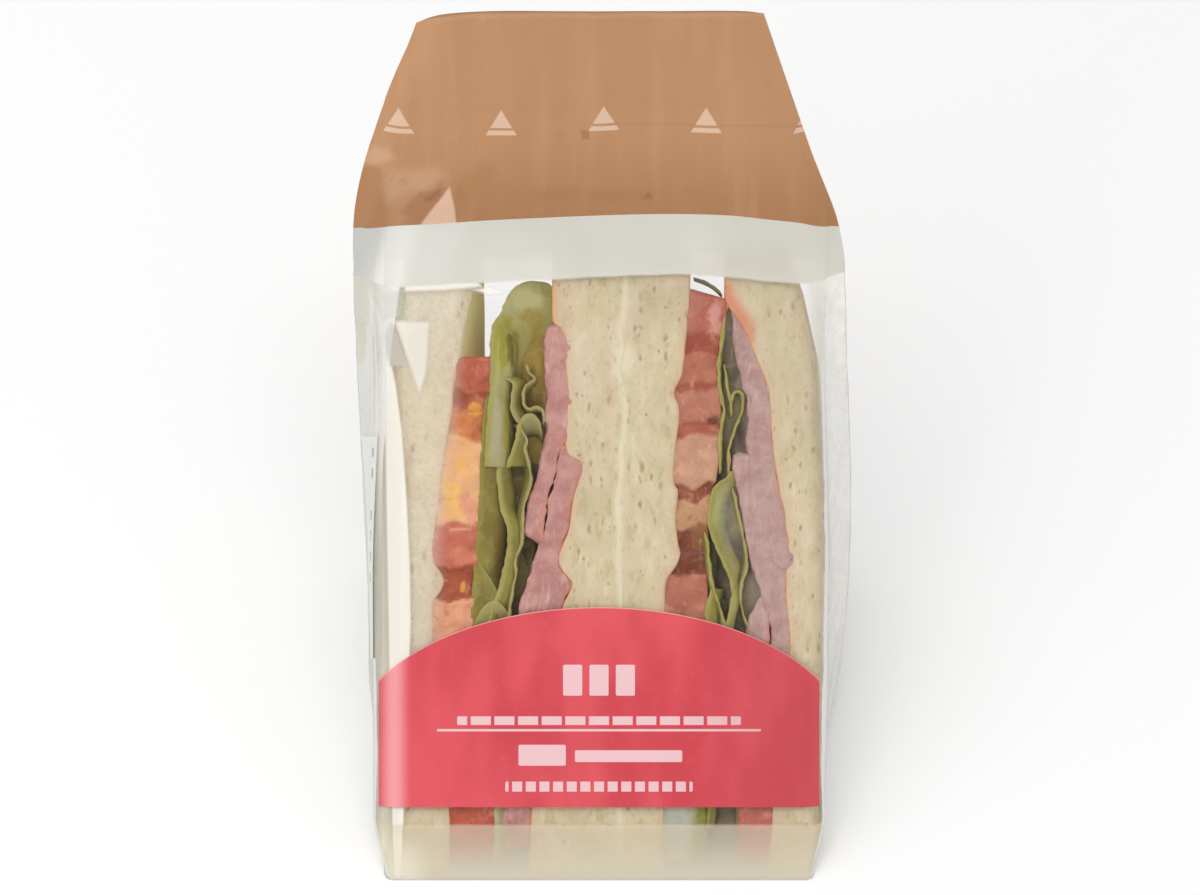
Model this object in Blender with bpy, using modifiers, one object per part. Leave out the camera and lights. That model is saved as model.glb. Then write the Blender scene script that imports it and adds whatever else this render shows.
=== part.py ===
"""A pack of two triangular sandwiches in a clear film bag, standing on one short side.

The cut faces look forward and up at 45 degrees, the back is upright, and the bag's
header rises from the top corner. Metres, +Z up, front towards -Y, and the origin in
the middle of the footprint at the height of the surface it stands on.
"""

import math

import bmesh
import bpy
from mathutils import Matrix, Vector

# Driving dimensions, in metres
LEG = 0.100  # short side of the triangle that the filled bag makes, seen from the side
FACE_HALF = 0.0495  # half width of the flat front, over four slices and two fillings
FOOT_HALF = 0.0483  # the same at the floor, where the film turns under
NECK_HALF = 0.0462  # the same near the top corner, where the slices lean together
SEAM_FOOT_HALF = 0.0524  # half width over the side seams at the floor
SEAM_HALF = 0.0544  # half width over the side seams at their widest
SEAM_SHIFT = 0.0020  # the right seam stands out further than the left, low down
HEADER_LENGTH = 0.0510  # from the top corner to the header's folded edge
HEADER_TOP_HALF = 0.0379
HEADER_THICKNESS = 0.0026
HEADER_SHIFT = -0.0020  # the folded edge sits a little to the left
TOP_DROOP = 0.0028  # the folded edge's left end hangs lower
DROOP_REACH = 0.016

LABEL_HALF = 0.0484  # front label, along the film
LABEL_FOOT = 0.0163  # its lower edge, up the front from the floor
LABEL_CROWN = 0.0603  # the top of its arch
ARCH_HALF_SPAN = 0.0550  # half axes of the ellipse that the arch is cut to
ARCH_RISE = 0.0306
SIDE_LABEL_FOOT = 0.0490  # side label, up the front's edge
SIDE_LABEL_TOP = 0.0980
SIDE_LABEL_NEAR = 0.0014  # its long edges, behind the front
SIDE_LABEL_FAR = 0.0125
LABEL_THICKNESS = 0.0003
GAP = 0.0003  # between a label and the film

# Where the bag changes shape, by height
SLOPE = math.sqrt(0.5)  # the front climbs and recedes by this much per unit of length
SEAM_LEAN = 0.5  # the seams and header recede this much per unit of height
TOP = LEG + HEADER_LENGTH / math.hypot(1.0, SEAM_LEAN)
SEAM_FULL = 0.050  # the seams reach their full width
SHOULDER_BEND = 0.0025  # how gently the header's sides start to close in
HEADER_CLOSING = 0.395  # how fast each side closes in, per unit of height
FOOT_ROUNDING = 0.0090
CORNER = 0.0034  # the film's bend at the edges of the front and back
FOOT_BEVEL = 0.0012
NECK_BLEND = 0.0030  # how gently front and back run into the header
HEADER_RIM = 0.0040  # flattened edge down each side of the header
SIDE_SAG = 0.0010  # the loose film at the sides hangs in by this much
HEADER_WAVE = 0.0009  # the header's soft waves, and how many radians they turn per metre
WAVES_ACROSS = 95.0
WAVES_UP = 60.0

# Mesh resolution
FRONT_STEPS = 12
CORNER_STEPS = 3
SIDE_STEPS = 3
BODY_STEPS = 18
NECK_STEPS = 8
HEADER_STEPS = 12
LABEL_COLUMNS = 28
LABEL_ROWS = 6
LABEL_PROBE = 0.004  # share of a label's size over which its lean is measured

COLOURS = {
    "bag": (0.72, 0.66, 0.55, 1.0),
    "front_label": (0.70, 0.08, 0.10, 1.0),
    "side_label": (0.86, 0.86, 0.84, 1.0),
}
ROUGHNESS = {"bag": 0.25, "front_label": 0.45, "side_label": 0.5}


def clear_scene():
    for obj in list(bpy.data.objects):
        bpy.data.objects.remove(obj, do_unlink=True)


def ease(value, low, high):
    """0 below low, 1 above high, and a smooth step between."""
    t = min(max((value - low) / (high - low), 0.0), 1.0)
    return t * t * (3.0 - 2.0 * t)


def mix(a, b, share):
    return a + (b - a) * share


def half_depth(z):
    """Half the bag's depth at height z: a triangle that runs into a flat header."""
    header = HEADER_THICKNESS * 0.5
    over = (LEG - z) * 0.5 - header
    return header * mix(1.0, 0.5, ease(z, LEG, TOP)) + (
        over + math.hypot(over, NECK_BLEND)
    ) * 0.5


def seam_half(z):
    """Half width over the side seams at height z."""
    rise = 1.0 - max(1.0 - z / SEAM_FULL, 0.0) ** 1.6
    body = mix(SEAM_FOOT_HALF, SEAM_HALF, rise)
    header = HEADER_TOP_HALF + (TOP - z) * HEADER_CLOSING
    return (body + header - math.hypot(body - header, SHOULDER_BEND)) * 0.5


def seam_shift(z):
    """How far both seams stand to the right at height z."""
    rise = ease(z, -LEG * 0.15, LEG * 0.28)
    return SEAM_SHIFT * rise * (1.0 - ease(z, LEG * 0.35, LEG))


def face_half(z):
    """Half width of the flat front and back at height z."""
    body = mix(FOOT_HALF, FACE_HALF, ease(z, 0.0, FOOT_ROUNDING))
    body = mix(body, NECK_HALF, ease(z, LEG * 0.45, LEG * 0.95))
    header = seam_half(z) - HEADER_RIM
    return mix(body, header, ease(z, LEG * 0.93, LEG * 1.08))


def quarter_outline(z):
    """(x, y) about the seam line, from the middle of the front to just short of the right seam."""
    depth = half_depth(z)
    face = face_half(z)
    seam = seam_half(z)
    side = Vector((seam - face, depth))
    bend = min(CORNER * mix(0.4, 1.0, ease(z, 0.0, LEG * 0.2)), side.length * 0.45)
    start = Vector((face - bend, -depth))
    corner = Vector((face, -depth))
    end = corner + side.normalized() * bend
    points = [Vector((start.x * i / FRONT_STEPS, -depth)) for i in range(FRONT_STEPS)]
    for i in range(CORNER_STEPS + 1):
        t = i / CORNER_STEPS
        points.append(
            start * (1 - t) ** 2 + corner * (2 * t * (1 - t)) + end * t ** 2
        )
    seam_point = Vector((seam, 0.0))
    inward = Vector((-side.y, side.x)).normalized()
    for i in range(1, SIDE_STEPS):
        t = i / SIDE_STEPS
        sag = min(SIDE_SAG, depth * 0.1) * 4.0 * t * (1.0 - t)
        points.append(end.lerp(seam_point, t) + inward * sag)
    return points


def place(x, y, z):
    """A point of the section at height z, moved to where the leaning bag has it."""
    header = ease(z, LEG * 0.92, LEG * 1.2)
    ripple = math.sin(x * WAVES_ACROSS + 0.8) * math.sin((z - LEG) * WAVES_UP + 0.5)
    wave = HEADER_WAVE * ripple * ease(z, LEG, LEG * 1.12)
    left_end = max(0.0, -x / HEADER_TOP_HALF)
    face = face_half(z)
    out = max(abs(x) - face, 0.0) / (seam_half(z) - face)
    droop = TOP_DROOP * ease(z, TOP - DROOP_REACH, TOP) * min(left_end, 1.0) ** 6
    return Vector(
        (
            x + HEADER_SHIFT * header + seam_shift(z) * out,
            y + z * SEAM_LEAN + wave,
            z - droop,
        )
    )


def section(z, inset=0.0):
    """The closed outline of the bag at height z, anticlockwise seen from above."""
    quarter = quarter_outline(z)
    seam = Vector((seam_half(z), 0.0))
    right_front = quarter
    right_back = [Vector((p.x, -p.y)) for p in reversed(quarter)]
    left_back = [Vector((-p.x, -p.y)) for p in quarter[1:]]
    left_front = [Vector((-p.x, p.y)) for p in reversed(quarter[1:])]
    loop = right_front + [seam] + right_back + left_back + [-seam] + left_front
    shrink = 1.0 - inset / FACE_HALF
    return [place(p.x * shrink, p.y * shrink, z) for p in loop]


def heights():
    """The heights of the bag's sections, closer together where it narrows to the header."""
    low, neck_low, neck_high = FOOT_BEVEL, LEG * 0.88, LEG * 1.08
    found = [mix(low, neck_low, i / BODY_STEPS) for i in range(BODY_STEPS)]
    found += [mix(neck_low, neck_high, i / NECK_STEPS) for i in range(NECK_STEPS)]
    found += [mix(neck_high, TOP, i / HEADER_STEPS) for i in range(HEADER_STEPS + 1)]
    return found


def loft(name, loops):
    """A closed mesh object through equal loops, capped at both ends."""
    bm = bmesh.new()
    rings = [[bm.verts.new(p) for p in loop] for loop in loops]
    count = len(loops[0])
    for lower, upper in zip(rings, rings[1:]):
        for i in range(count):
            j = (i + 1) % count
            bm.faces.new((lower[i], lower[j], upper[j], upper[i]))
    bm.faces.new(list(reversed(rings[0])))
    bm.faces.new(rings[-1])
    bmesh.ops.triangulate(bm, faces=bm.faces[:])
    bmesh.ops.recalc_face_normals(bm, faces=bm.faces[:])
    return finish_mesh(name, bm)


def finish_mesh(name, bm):
    mesh = bpy.data.meshes.new(name)
    bm.to_mesh(mesh)
    bm.free()
    mesh.shade_smooth()
    mesh.set_sharp_from_angle(angle=math.radians(40.0))
    mesh.materials.append(make_material(name))
    obj = bpy.data.objects.new(name, mesh)
    parts_collection().objects.link(obj)
    return obj


def parts_collection():
    name = "sandwich_pack"
    found = bpy.data.collections.get(name)
    if found is None:
        found = bpy.data.collections.new(name)
        bpy.context.scene.collection.children.link(found)
    return found


def make_material(name):
    material = bpy.data.materials.new(name)
    material.use_nodes = True
    shader = material.node_tree.nodes["Principled BSDF"]
    shader.inputs["Base Color"].default_value = COLOURS[name]
    shader.inputs["Roughness"].default_value = ROUGHNESS[name]
    shader.inputs["Metallic"].default_value = 0.0
    return material


def front_point(along, z):
    """A point of the front skin, at a signed distance round the section from its middle."""
    points = quarter_outline(z)
    left = abs(along)
    for a, b in zip(points, points[1:]):
        step = (b - a).length
        if left <= step:
            p = a.lerp(b, left / step)
            break
        left -= step
    return place(math.copysign(p.x, along), p.y, z)


def left_side_point(up, behind):
    """A point of the left side's front panel: up the front's edge, and square behind it."""
    z = (up - behind) * SLOPE
    depth = half_depth(z)
    back = behind / SLOPE
    y = back - depth
    outline = quarter_outline(z)[FRONT_STEPS:] + [Vector((seam_half(z), 0.0))]
    for a, b in zip(outline, outline[1:]):
        if y <= b.y:
            break
    x = mix(a.x, b.x, (y - a.y) / (b.y - a.y))
    return place(-x, y, z)


def skin_plate(name, skin):
    """A thin plate just off the film: skin turns two shares from 0 to 1 into a point of it."""
    bm = bmesh.new()
    bmesh.ops.create_grid(bm, x_segments=LABEL_COLUMNS, y_segments=LABEL_ROWS, size=0.5)
    for vert in bm.verts:
        u = vert.co.x + 0.5
        v = vert.co.y + 0.5
        across = skin(u + LABEL_PROBE, v) - skin(u - LABEL_PROBE, v)
        upward = skin(u, v + LABEL_PROBE) - skin(u, v - LABEL_PROBE)
        vert.co = skin(u, v) + across.cross(upward).normalized() * GAP
    plate = finish_mesh(name, bm)
    thicken = plate.modifiers.new("paper", "SOLIDIFY")
    thicken.thickness = LABEL_THICKNESS
    thicken.offset = 1.0
    return plate


def arch_height(across):
    """The front label's upper edge, up the front, at a distance from the middle."""
    drop = ARCH_RISE * (1.0 - math.sqrt(1.0 - (across / ARCH_HALF_SPAN) ** 2))
    return LABEL_CROWN - drop


def build_bag():
    floor_loop = section(0.0, inset=FOOT_BEVEL)
    return loft("bag", [floor_loop] + [section(z) for z in heights()])


def front_label_skin(u, v):
    across = mix(-LABEL_HALF, LABEL_HALF, u)
    up = mix(LABEL_FOOT, arch_height(across), v)
    return front_point(across, up * SLOPE)


def side_label_skin(u, v):
    up = mix(SIDE_LABEL_FOOT, SIDE_LABEL_TOP, u)
    return left_side_point(up, mix(SIDE_LABEL_NEAR, SIDE_LABEL_FAR, v))


def centre_on_footprint(objects):
    """Shift the meshes so that the middle of their footprint is at the origin."""
    points = [v.co for obj in objects for v in obj.data.vertices]
    middle_x = (min(p.x for p in points) + max(p.x for p in points)) * 0.5
    middle_y = (min(p.y for p in points) + max(p.y for p in points)) * 0.5
    for obj in objects:
        obj.data.transform(Matrix.Translation((-middle_x, -middle_y, 0.0)))


def main():
    clear_scene()
    bag = build_bag()
    front_label = skin_plate("front_label", front_label_skin)
    side_label = skin_plate("side_label", side_label_skin)
    centre_on_footprint([bag, front_label, side_label])


main()
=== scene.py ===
"""Looks of a packed bacon, lettuce and tomato sandwich: clear film, printed header and labels,
four slices of bread and their fillings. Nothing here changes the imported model's size.
"""

import functools
import math

import bmesh
import bpy
from mathutils import Matrix, Vector, noise


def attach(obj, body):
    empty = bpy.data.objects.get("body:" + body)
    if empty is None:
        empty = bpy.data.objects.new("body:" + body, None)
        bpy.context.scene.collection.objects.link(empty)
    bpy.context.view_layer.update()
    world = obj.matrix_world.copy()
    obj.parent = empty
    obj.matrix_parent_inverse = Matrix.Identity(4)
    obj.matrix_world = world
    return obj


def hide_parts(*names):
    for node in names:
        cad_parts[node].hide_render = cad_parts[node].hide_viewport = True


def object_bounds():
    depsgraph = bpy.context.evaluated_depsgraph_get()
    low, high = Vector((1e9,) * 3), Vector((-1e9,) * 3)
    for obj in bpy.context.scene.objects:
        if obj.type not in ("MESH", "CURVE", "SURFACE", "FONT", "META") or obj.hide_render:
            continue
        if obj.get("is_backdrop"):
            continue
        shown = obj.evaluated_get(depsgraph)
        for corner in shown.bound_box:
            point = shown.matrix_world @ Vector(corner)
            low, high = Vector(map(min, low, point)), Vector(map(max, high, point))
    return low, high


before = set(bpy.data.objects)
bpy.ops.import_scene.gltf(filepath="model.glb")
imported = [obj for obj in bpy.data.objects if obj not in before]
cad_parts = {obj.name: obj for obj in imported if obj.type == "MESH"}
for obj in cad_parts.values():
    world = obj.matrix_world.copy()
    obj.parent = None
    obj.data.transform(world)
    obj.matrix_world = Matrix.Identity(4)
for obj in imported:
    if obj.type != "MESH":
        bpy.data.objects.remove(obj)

CAD_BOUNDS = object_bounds()

# The photograph's frame
PHOTO_WIDTH = 1200
PHOTO_HEIGHT = 895
PIXEL = 0.00022  # size of one pixel at the front of the pack
MIDDLE_COLUMN = 599  # the middle of the front, in the photograph
FOOT_ROW = 881  # the front's lower edge
CAMERA_DISTANCE = 1.4
SENSOR = 36.0

# The bag's shape, the same as in the solid (metres, about its own middle)
LEG = 0.100
FACE_HALF = 0.0495
FOOT_HALF = 0.0483
NECK_HALF = 0.0462
SEAM_FOOT_HALF = 0.0524
SEAM_HALF = 0.0544
SEAM_SHIFT = 0.0020
HEADER_LENGTH = 0.0510
HEADER_TOP_HALF = 0.0379
HEADER_THICKNESS = 0.0026
HEADER_SHIFT = -0.0020
TOP_DROOP = 0.0028
DROOP_REACH = 0.016
SLOPE = math.sqrt(0.5)
SEAM_LEAN = 0.5
TOP = LEG + HEADER_LENGTH / math.hypot(1.0, SEAM_LEAN)
SEAM_FULL = 0.050
SHOULDER_BEND = 0.0025
HEADER_CLOSING = 0.395
FOOT_ROUNDING = 0.0090
CORNER = 0.0044
NECK_BLEND = 0.0030
HEADER_RIM = 0.0040
SIDE_SAG = 0.0010
HEADER_WAVE = 0.0009
WAVES_ACROSS = 95.0
WAVES_UP = 60.0
CENTRE_X = -0.00104  # where the bag's own middle stands in the model
CENTRE_Y = -0.01239
FRONT_FOOT_Y = CENTRE_Y - LEG * 0.5

# Film mesh
FRONT_STEPS = 42
CORNER_STEPS = 7
SIDE_STEPS = 30
FILM_ROWS = 150
HEADER_ROWS = 64

# Labels, as in the solids
LABEL_HALF = 0.0484
LABEL_FOOT = 0.0163
LABEL_CROWN = 0.0603
ARCH_HALF_SPAN = 0.0550
ARCH_RISE = 0.0306
SIDE_LABEL_FOOT = 0.0490
SIDE_LABEL_TOP = 0.0980
SIDE_LABEL_NEAR = 0.0014
SIDE_LABEL_FAR = 0.0125
UNDER_LABEL = 0.00026  # the film stands out this far to meet a label

MM = 0.001
PRISM = LEG / SLOPE / MM  # height of the cut face, in millimetres
CLEAR = 0.9  # from the film back to the cut faces
GRAIN = 0.5  # mesh spacing on the cut faces
LEAF_GRAIN = 0.55  # the same along a leaf's cut edge


def ease(value, low, high):
    """0 below low, 1 above high, and a smooth step between."""
    t = min(max((value - low) / (high - low), 0.0), 1.0)
    return t * t * (3.0 - 2.0 * t)


def mix(a, b, share):
    return a + (b - a) * share


def mix_colours(a, b, share):
    return [mix(a[i], b[i], share) for i in range(3)]


def bell(value, middle, reach):
    """1 at the middle, falling smoothly to 0 at the reach on either side."""
    return 1.0 - ease(abs(value - middle), 0.0, reach)


def flat(value):
    return lambda up: value


def through(points):
    """A smooth curve through (place, value) points in rising order, as a function of place."""
    places = [p[0] for p in points]
    values = [p[1] for p in points]
    slopes = []
    for i in range(len(points)):
        a = max(i - 1, 0)
        b = min(i + 1, len(points) - 1)
        slopes.append((values[b] - values[a]) / (places[b] - places[a]))

    def at(place):
        if place <= places[0]:
            return values[0]
        if place >= places[-1]:
            return values[-1]
        i = 0
        while places[i + 1] < place:
            i += 1
        span = places[i + 1] - places[i]
        t = (place - places[i]) / span
        keep = (1 + 2 * t) * (1 - t) ** 2 * values[i] + t * t * (3 - 2 * t) * values[i + 1]
        lean = t * (1 - t) ** 2 * slopes[i] + t * t * (t - 1) * slopes[i + 1]
        return keep + lean * span

    return at


def on_front(column, row):
    """(across, up) in metres over the front, from a place in the photograph."""
    return (column - MIDDLE_COLUMN) * PIXEL, (FOOT_ROW - row) * PIXEL


def in_mm(column, row):
    """(across, up) in millimetres over the front, from a place in the photograph."""
    return tuple(distance / MM for distance in on_front(column, row))


def from_photo(points):
    """(up, across) places in millimetres from (column, row) places, in rising order."""
    return sorted(in_mm(*point)[::-1] for point in points)


def cut_point(across, up, behind):
    """A place in the pack, from millimetres across and up the cut faces and in behind them."""
    y = FRONT_FOOT_Y + (up + behind) * MM * SLOPE
    return Vector((CENTRE_X + across * MM, y, (up - behind) * MM * SLOPE))


# materials


def tone(red, green, blue):
    """A linear colour from the 0 to 255 values that a picture shows."""
    shown = [c / 255.0 for c in (red, green, blue)]
    linear = [c / 12.92 if c <= 0.04045 else ((c + 0.055) / 1.055) ** 2.4 for c in shown]
    return (*linear, 1.0)


class Wire:
    """A number on its way between a material's nodes, with ordinary arithmetic."""

    def __init__(self, paint, socket):
        self.paint = paint
        self.socket = socket

    def __add__(self, other):
        return self.paint.math("ADD", self, other)

    def __sub__(self, other):
        return self.paint.math("SUBTRACT", self, other)

    def __rsub__(self, other):
        return self.paint.math("SUBTRACT", other, self)

    def __mul__(self, other):
        return self.paint.math("MULTIPLY", self, other)

    def __truediv__(self, other):
        return self.paint.math("DIVIDE", self, other)

    def __abs__(self):
        return self.paint.math("ABSOLUTE", self)

    def wrap(self, pitch, low=None):
        """The number, repeating over this pitch about 0, or from low up."""
        low = -pitch * 0.5 if low is None else low
        return self.paint.math("WRAP", self, low + pitch, low)

    def step(self, low, high, end=1.0, start=0.0):
        """A smooth step of the number, from start at low to end at high."""
        made = self.paint.node("MapRange", {"interpolation_type": "SMOOTHSTEP"}, Value=self)
        for key, number in (("From Min", low), ("From Max", high), ("To Min", start), ("To Max", end)):
            self.paint.feed(made.inputs[key], number)
        return Wire(self.paint, made.outputs["Result"])


def least(first, second):
    return first.paint.math("MINIMUM", first, second)


def most(first, second):
    return first.paint.math("MAXIMUM", first, second)


class Paint:
    """One material, with short calls that add its nodes and wire them together."""

    def __init__(self, name, colour=(255, 255, 255)):
        self.material = bpy.data.materials.new(name)
        self.material.use_nodes = True
        self.tree = self.material.node_tree
        self.tree.nodes.clear()
        self.output = self.tree.nodes.new("ShaderNodeOutputMaterial")
        self.colour = tone(*colour)

    def node(self, kind, settings=(), **inputs):
        made = self.tree.nodes.new("ShaderNode" + kind)
        for key, value in dict(settings).items():
            setattr(made, key, value)
        for key, value in inputs.items():
            self.feed(made.inputs[key.replace("_", " ")], value)
        return made

    def feed(self, socket, value):
        value = getattr(value, "socket", value)
        if isinstance(value, bpy.types.NodeSocket):
            self.tree.links.new(value, socket)
        else:
            socket.default_value = value

    def math(self, operation, *values):
        made = self.node("Math", {"operation": operation})
        for socket, value in zip(made.inputs, values):
            self.feed(socket, value)
        return Wire(self, made.outputs[0])

    def blend(self, share, first, second):
        made = self.node("Mix", {"data_type": "RGBA"})
        for place, value in ((0, share), (6, first), (7, second)):
            self.feed(made.inputs[place], value)
        return made.outputs[2]

    def lay(self, share, *colour):
        """Lay a colour, from 0 to 255 or ready made, over the surface's own by this share."""
        over = tone(*colour) if len(colour) == 3 else colour[0]
        self.colour = self.blend(share, self.colour, over)

    def place(self, stretch=(1.0, 1.0, 1.0), turn=(0.0, 0.0, 0.0), shift=(0.0, 0.0, 0.0)):
        """The point being shaded in object space, turned and stretched."""
        coordinates = self.node("TexCoord").outputs["Object"]
        turned = self.node("Mapping", Vector=coordinates, Rotation=turn, Location=shift)
        return self.node("Mapping", Vector=turned.outputs[0], Scale=stretch).outputs[0]

    def warped(self, place, size, amount):
        """The place, pushed about by noise of this size."""
        push = self.node("TexNoise", Vector=place, Scale=1.0 / size, Detail=2.0).outputs[1]
        centred = self.node("VectorMath", {"operation": "SUBTRACT"})
        moved = self.node("VectorMath", {"operation": "MULTIPLY_ADD"})
        self.feed(centred.inputs[0], push)
        self.feed(centred.inputs[1], (0.5, 0.5, 0.5))
        self.feed(moved.inputs[0], centred.outputs[0])
        self.feed(moved.inputs[1], (amount, amount, amount))
        self.feed(moved.inputs[2], place)
        return moved.outputs[0]

    def pores(self, place, size, share, reach):
        """Round holes: this share of the cells has one, of up to this reach of a cell."""
        cell = self.node("TexVoronoi", Vector=place, Scale=1.0 / size)
        chance = Wire(self, self.node("SeparateColor", Color=cell.outputs["Color"]).outputs[0])
        radius = chance.step(1.0 - share, 1.0, reach)
        hole = Wire(self, cell.outputs["Distance"]).step(radius, radius * 0.35)
        return hole * radius.step(0.01, 0.05)

    def noise(self, place, size, detail=3.0, rough=0.55):
        made = self.node("TexNoise", Vector=place, Scale=1.0 / size, Detail=detail, Roughness=rough)
        return Wire(self, made.outputs[0])

    def patch(self, corners, soft):
        """1 inside a flat polygon over the front, from (column, row) corners, and 0 outside. The
        polygon has no hollow side."""
        across, up = self.over_front()
        corners = [on_front(*corner) for corner in corners]
        turns = zip(corners, corners[1:] + corners[:1])
        if sum(ax * by - bx * ay for (ax, ay), (bx, by) in turns) < 0.0:
            corners.reverse()
        inside = None
        for (ax, ay), (bx, by) in zip(corners, corners[1:] + corners[:1]):
            length = math.hypot(bx - ax, by - ay)
            rise = (bx - ax) / length
            run = (ay - by) / length
            distance = self.math("MULTIPLY_ADD", up, rise, -(ay * rise + ax * run))
            distance = self.math("MULTIPLY_ADD", across, run, distance)
            inside = distance if inside is None else least(inside, distance)
        return inside.step(-soft, soft)

    def lay_facets(self, facets, front):
        """Lay facets over the front, each by its corners, colour, strength and softness."""
        for corners, colour, amount, soft_edge in facets:
            self.lay(self.patch(corners, soft_edge) * front * amount, *colour)

    def parts(self, vector):
        split = self.node("SeparateXYZ", Vector=vector)
        return [Wire(self, socket) for socket in split.outputs]

    def over_front(self):
        """How far across and how far up the sloping front the shaded point lies, in metres."""
        x, y, z = self.parts(self.place())
        return x - CENTRE_X, (y + z - FRONT_FOOT_Y) * SLOPE

    def mesh_value(self, name, part="Fac"):
        return Wire(self, self.node("Attribute", {"attribute_name": name}).outputs[part])

    def mesh_parts(self, name):
        return self.parts(self.mesh_value(name, "Vector"))

    def bump(self, height, depth, strength=1.0, **under):
        return self.node("Bump", Height=height, Distance=depth, Strength=strength, **under).outputs[0]

    def rolled(self, distance, normal):
        """The normal, turned further away the further the film has rolled over its left edge."""
        return self.bump(distance * distance * -EDGE_CURL, 1.0, Normal=normal)

    def shade(self, rough, specular=0.5, soft=None, **more):
        """The surface's main shader. Soft says how much light goes in, how deep, and by colour."""
        if soft:
            more["Subsurface_Weight"], more["Subsurface_Scale"], more["Subsurface_Radius"] = soft
        more["Specular_IOR_Level"] = specular
        return self.node("BsdfPrincipled", Base_Color=self.colour, Roughness=rough, **more).outputs[0]

    def mixed(self, share, first, second):
        made = self.node("MixShader", Fac=share)
        self.feed(made.inputs[1], first)
        self.feed(made.inputs[2], second)
        return made.outputs[0]

    def surface(self, shader):
        self.feed(self.output.inputs["Surface"], shader)
        return self.material


FACE_TURN = (math.radians(-45.0), 0.0, 0.0)  # brings the cut faces' up along Y
# Pressed and opened places on the crumb, as (column, row) corners; the pressed one is partly a painted
# highlight
PALE_PATCH = ((614, 348), (628, 344), (636, 360), (630, 376), (614, 372))
OPENED_PATCH = ((457, 356), (467, 300), (473, 282), (486, 282), (484, 356))
VEIN_SPACING = 0.0085


def bread_material():
    """Soft white crumb: warm and greenish patches, small upright pores painted darker as shade, a pale
    pressed edge that is partly a painted highlight, and a stain where a moist filling touches it."""
    p = Paint("bread_crumb", (210, 195, 160))
    plain = p.place()
    upright = p.place((1.0, 0.5, 0.8), FACE_TURN)
    bent = p.warped(upright, 0.0018, 0.0012)
    open_here = p.noise(plain, 0.009, 2.0).step(0.38, 0.58, 1.0, start=0.35)
    blots = p.pores(p.warped(upright, 0.0030, 0.0020), 0.0028, 0.8, 0.27)
    pores = p.pores(bent, 0.0014, 0.62, 0.40) * open_here
    fine = p.pores(p.warped(upright, 0.0008, 0.0004), 0.00072, 0.6, 0.5)
    p.lay(p.noise(bent, 0.0046, 2.0, 0.6).step(0.38, 0.64), 216, 197, 169)
    mottle = p.noise(bent, 0.0024, 3.0, 0.6)
    p.lay(mottle.step(0.48, 0.74, 0.7), 224, 211, 184)
    p.lay(mottle.step(0.48, 0.28, 0.6), 188, 169, 128)
    # the pores are painted darker: painted shade in the crumb's holes
    p.lay(fine * 0.22, 178, 158, 118)
    p.lay(pores * 0.72, 164, 140, 102)
    p.lay(blots * 0.78, 166, 144, 104)
    # painted shade in the crumb's pockets, kept on the mesh by how deep they lie
    p.lay(p.mesh_value("pocket") * 0.35, 172, 154, 112)
    left, right, depth = p.mesh_parts("edges")
    nearest = least(left, right)
    uneven = p.noise(bent, 0.0035, 2.0) * 1.6 - 0.8
    ragged = nearest + uneven
    # pale pressed edges and seam, partly a painted highlight where the rounded edges catch light
    rim = ragged.step(1.0, 0.1) * depth.step(4.0, 1.2)
    seam = (p.mesh_value("seam") + uneven).step(1.9, 0.4)
    pressed = p.patch(PALE_PATCH, 0.0014)
    p.lay(most(most(rim * 0.5, seam * 0.75), pressed * 0.8), 230, 218, 190)
    reach = p.mesh_value("soaked")
    moist = reach.step(0.05, 0.3)
    wide = (ragged / (reach * 0.9 + 2.2)).step(1.0, 0.18) * moist
    p.lay(wide * 0.45, 210, 176, 146)
    stain = (ragged / most(reach, 0.05)).step(1.0, 0.15) * moist
    p.lay(stain * 0.78, p.blend(reach.step(1.9, 3.0), tone(222, 170, 116), tone(214, 128, 94)))
    # inner faces: soaked yellow, painted lighter to stand in for light on these shaded faces
    p.lay(depth.step(0.5, 1.6) * nearest.step(0.6, 0.2) * 0.9, 238, 220, 136)
    p.lay(p.patch(OPENED_PATCH, 0.0012) * 0.5, 198, 186, 132)
    height = p.noise(plain, 0.0011, 4.0) * 0.7 - fine * 0.5 - (blots * 0.6 + pores)
    normal = p.bump(height, 0.00020, 0.6)
    return p.surface(p.shade(0.86, 0.2, (0.25, 0.0016, (0.9, 0.75, 0.5)), Normal=normal))


def tomato_material():
    """Cut tomato: wet flesh in the colours painted on the mesh, with pale fibres and painted shade
    deeper inside."""
    p = Paint("tomato_flesh")
    place = p.place()
    p.colour = p.mesh_value("tint", "Color")
    clouds = p.noise(p.warped(place, 0.004, 0.0016), 0.0036, 3.0, 0.6)
    p.lay(clouds.step(0.52, 0.74, 0.3), 240, 190, 146)
    p.lay(clouds.step(0.46, 0.26, 0.5), 150, 66, 40)
    streaks = p.noise(p.place((1.0, 0.4, 1.0), FACE_TURN), 0.0012, 3.0, 0.6)
    p.lay(streaks.step(0.58, 0.80, 0.35), 244, 200, 162)
    _, _, depth = p.mesh_parts("edges")
    # painted shade: darker the deeper the flesh lies behind the cut face
    p.lay(depth.step(3.2, 9.0, 0.6), 126, 50, 30)
    normal = p.bump(streaks * 0.35 + p.noise(place, 0.0030, 3.0), 0.0008, 0.7)
    wet = {"Coat_Weight": 0.08, "Coat_Roughness": 0.12}
    return p.surface(p.shade(0.30, 0.2, (0.3, 0.0028, (1.0, 0.35, 0.2)), Normal=normal, **wet))


def gel_material():
    p = Paint("tomato_gel", (226, 164, 70))
    place = p.place()
    p.lay(p.noise(place, 0.0015, 2.0), 206, 124, 54)
    normal = p.bump(p.noise(place, 0.0011, 2.0), 0.0003, 0.5)
    return p.surface(p.shade(0.16, 0.3, (0.3, 0.0015, (1.0, 0.6, 0.2)), Normal=normal))


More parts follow.
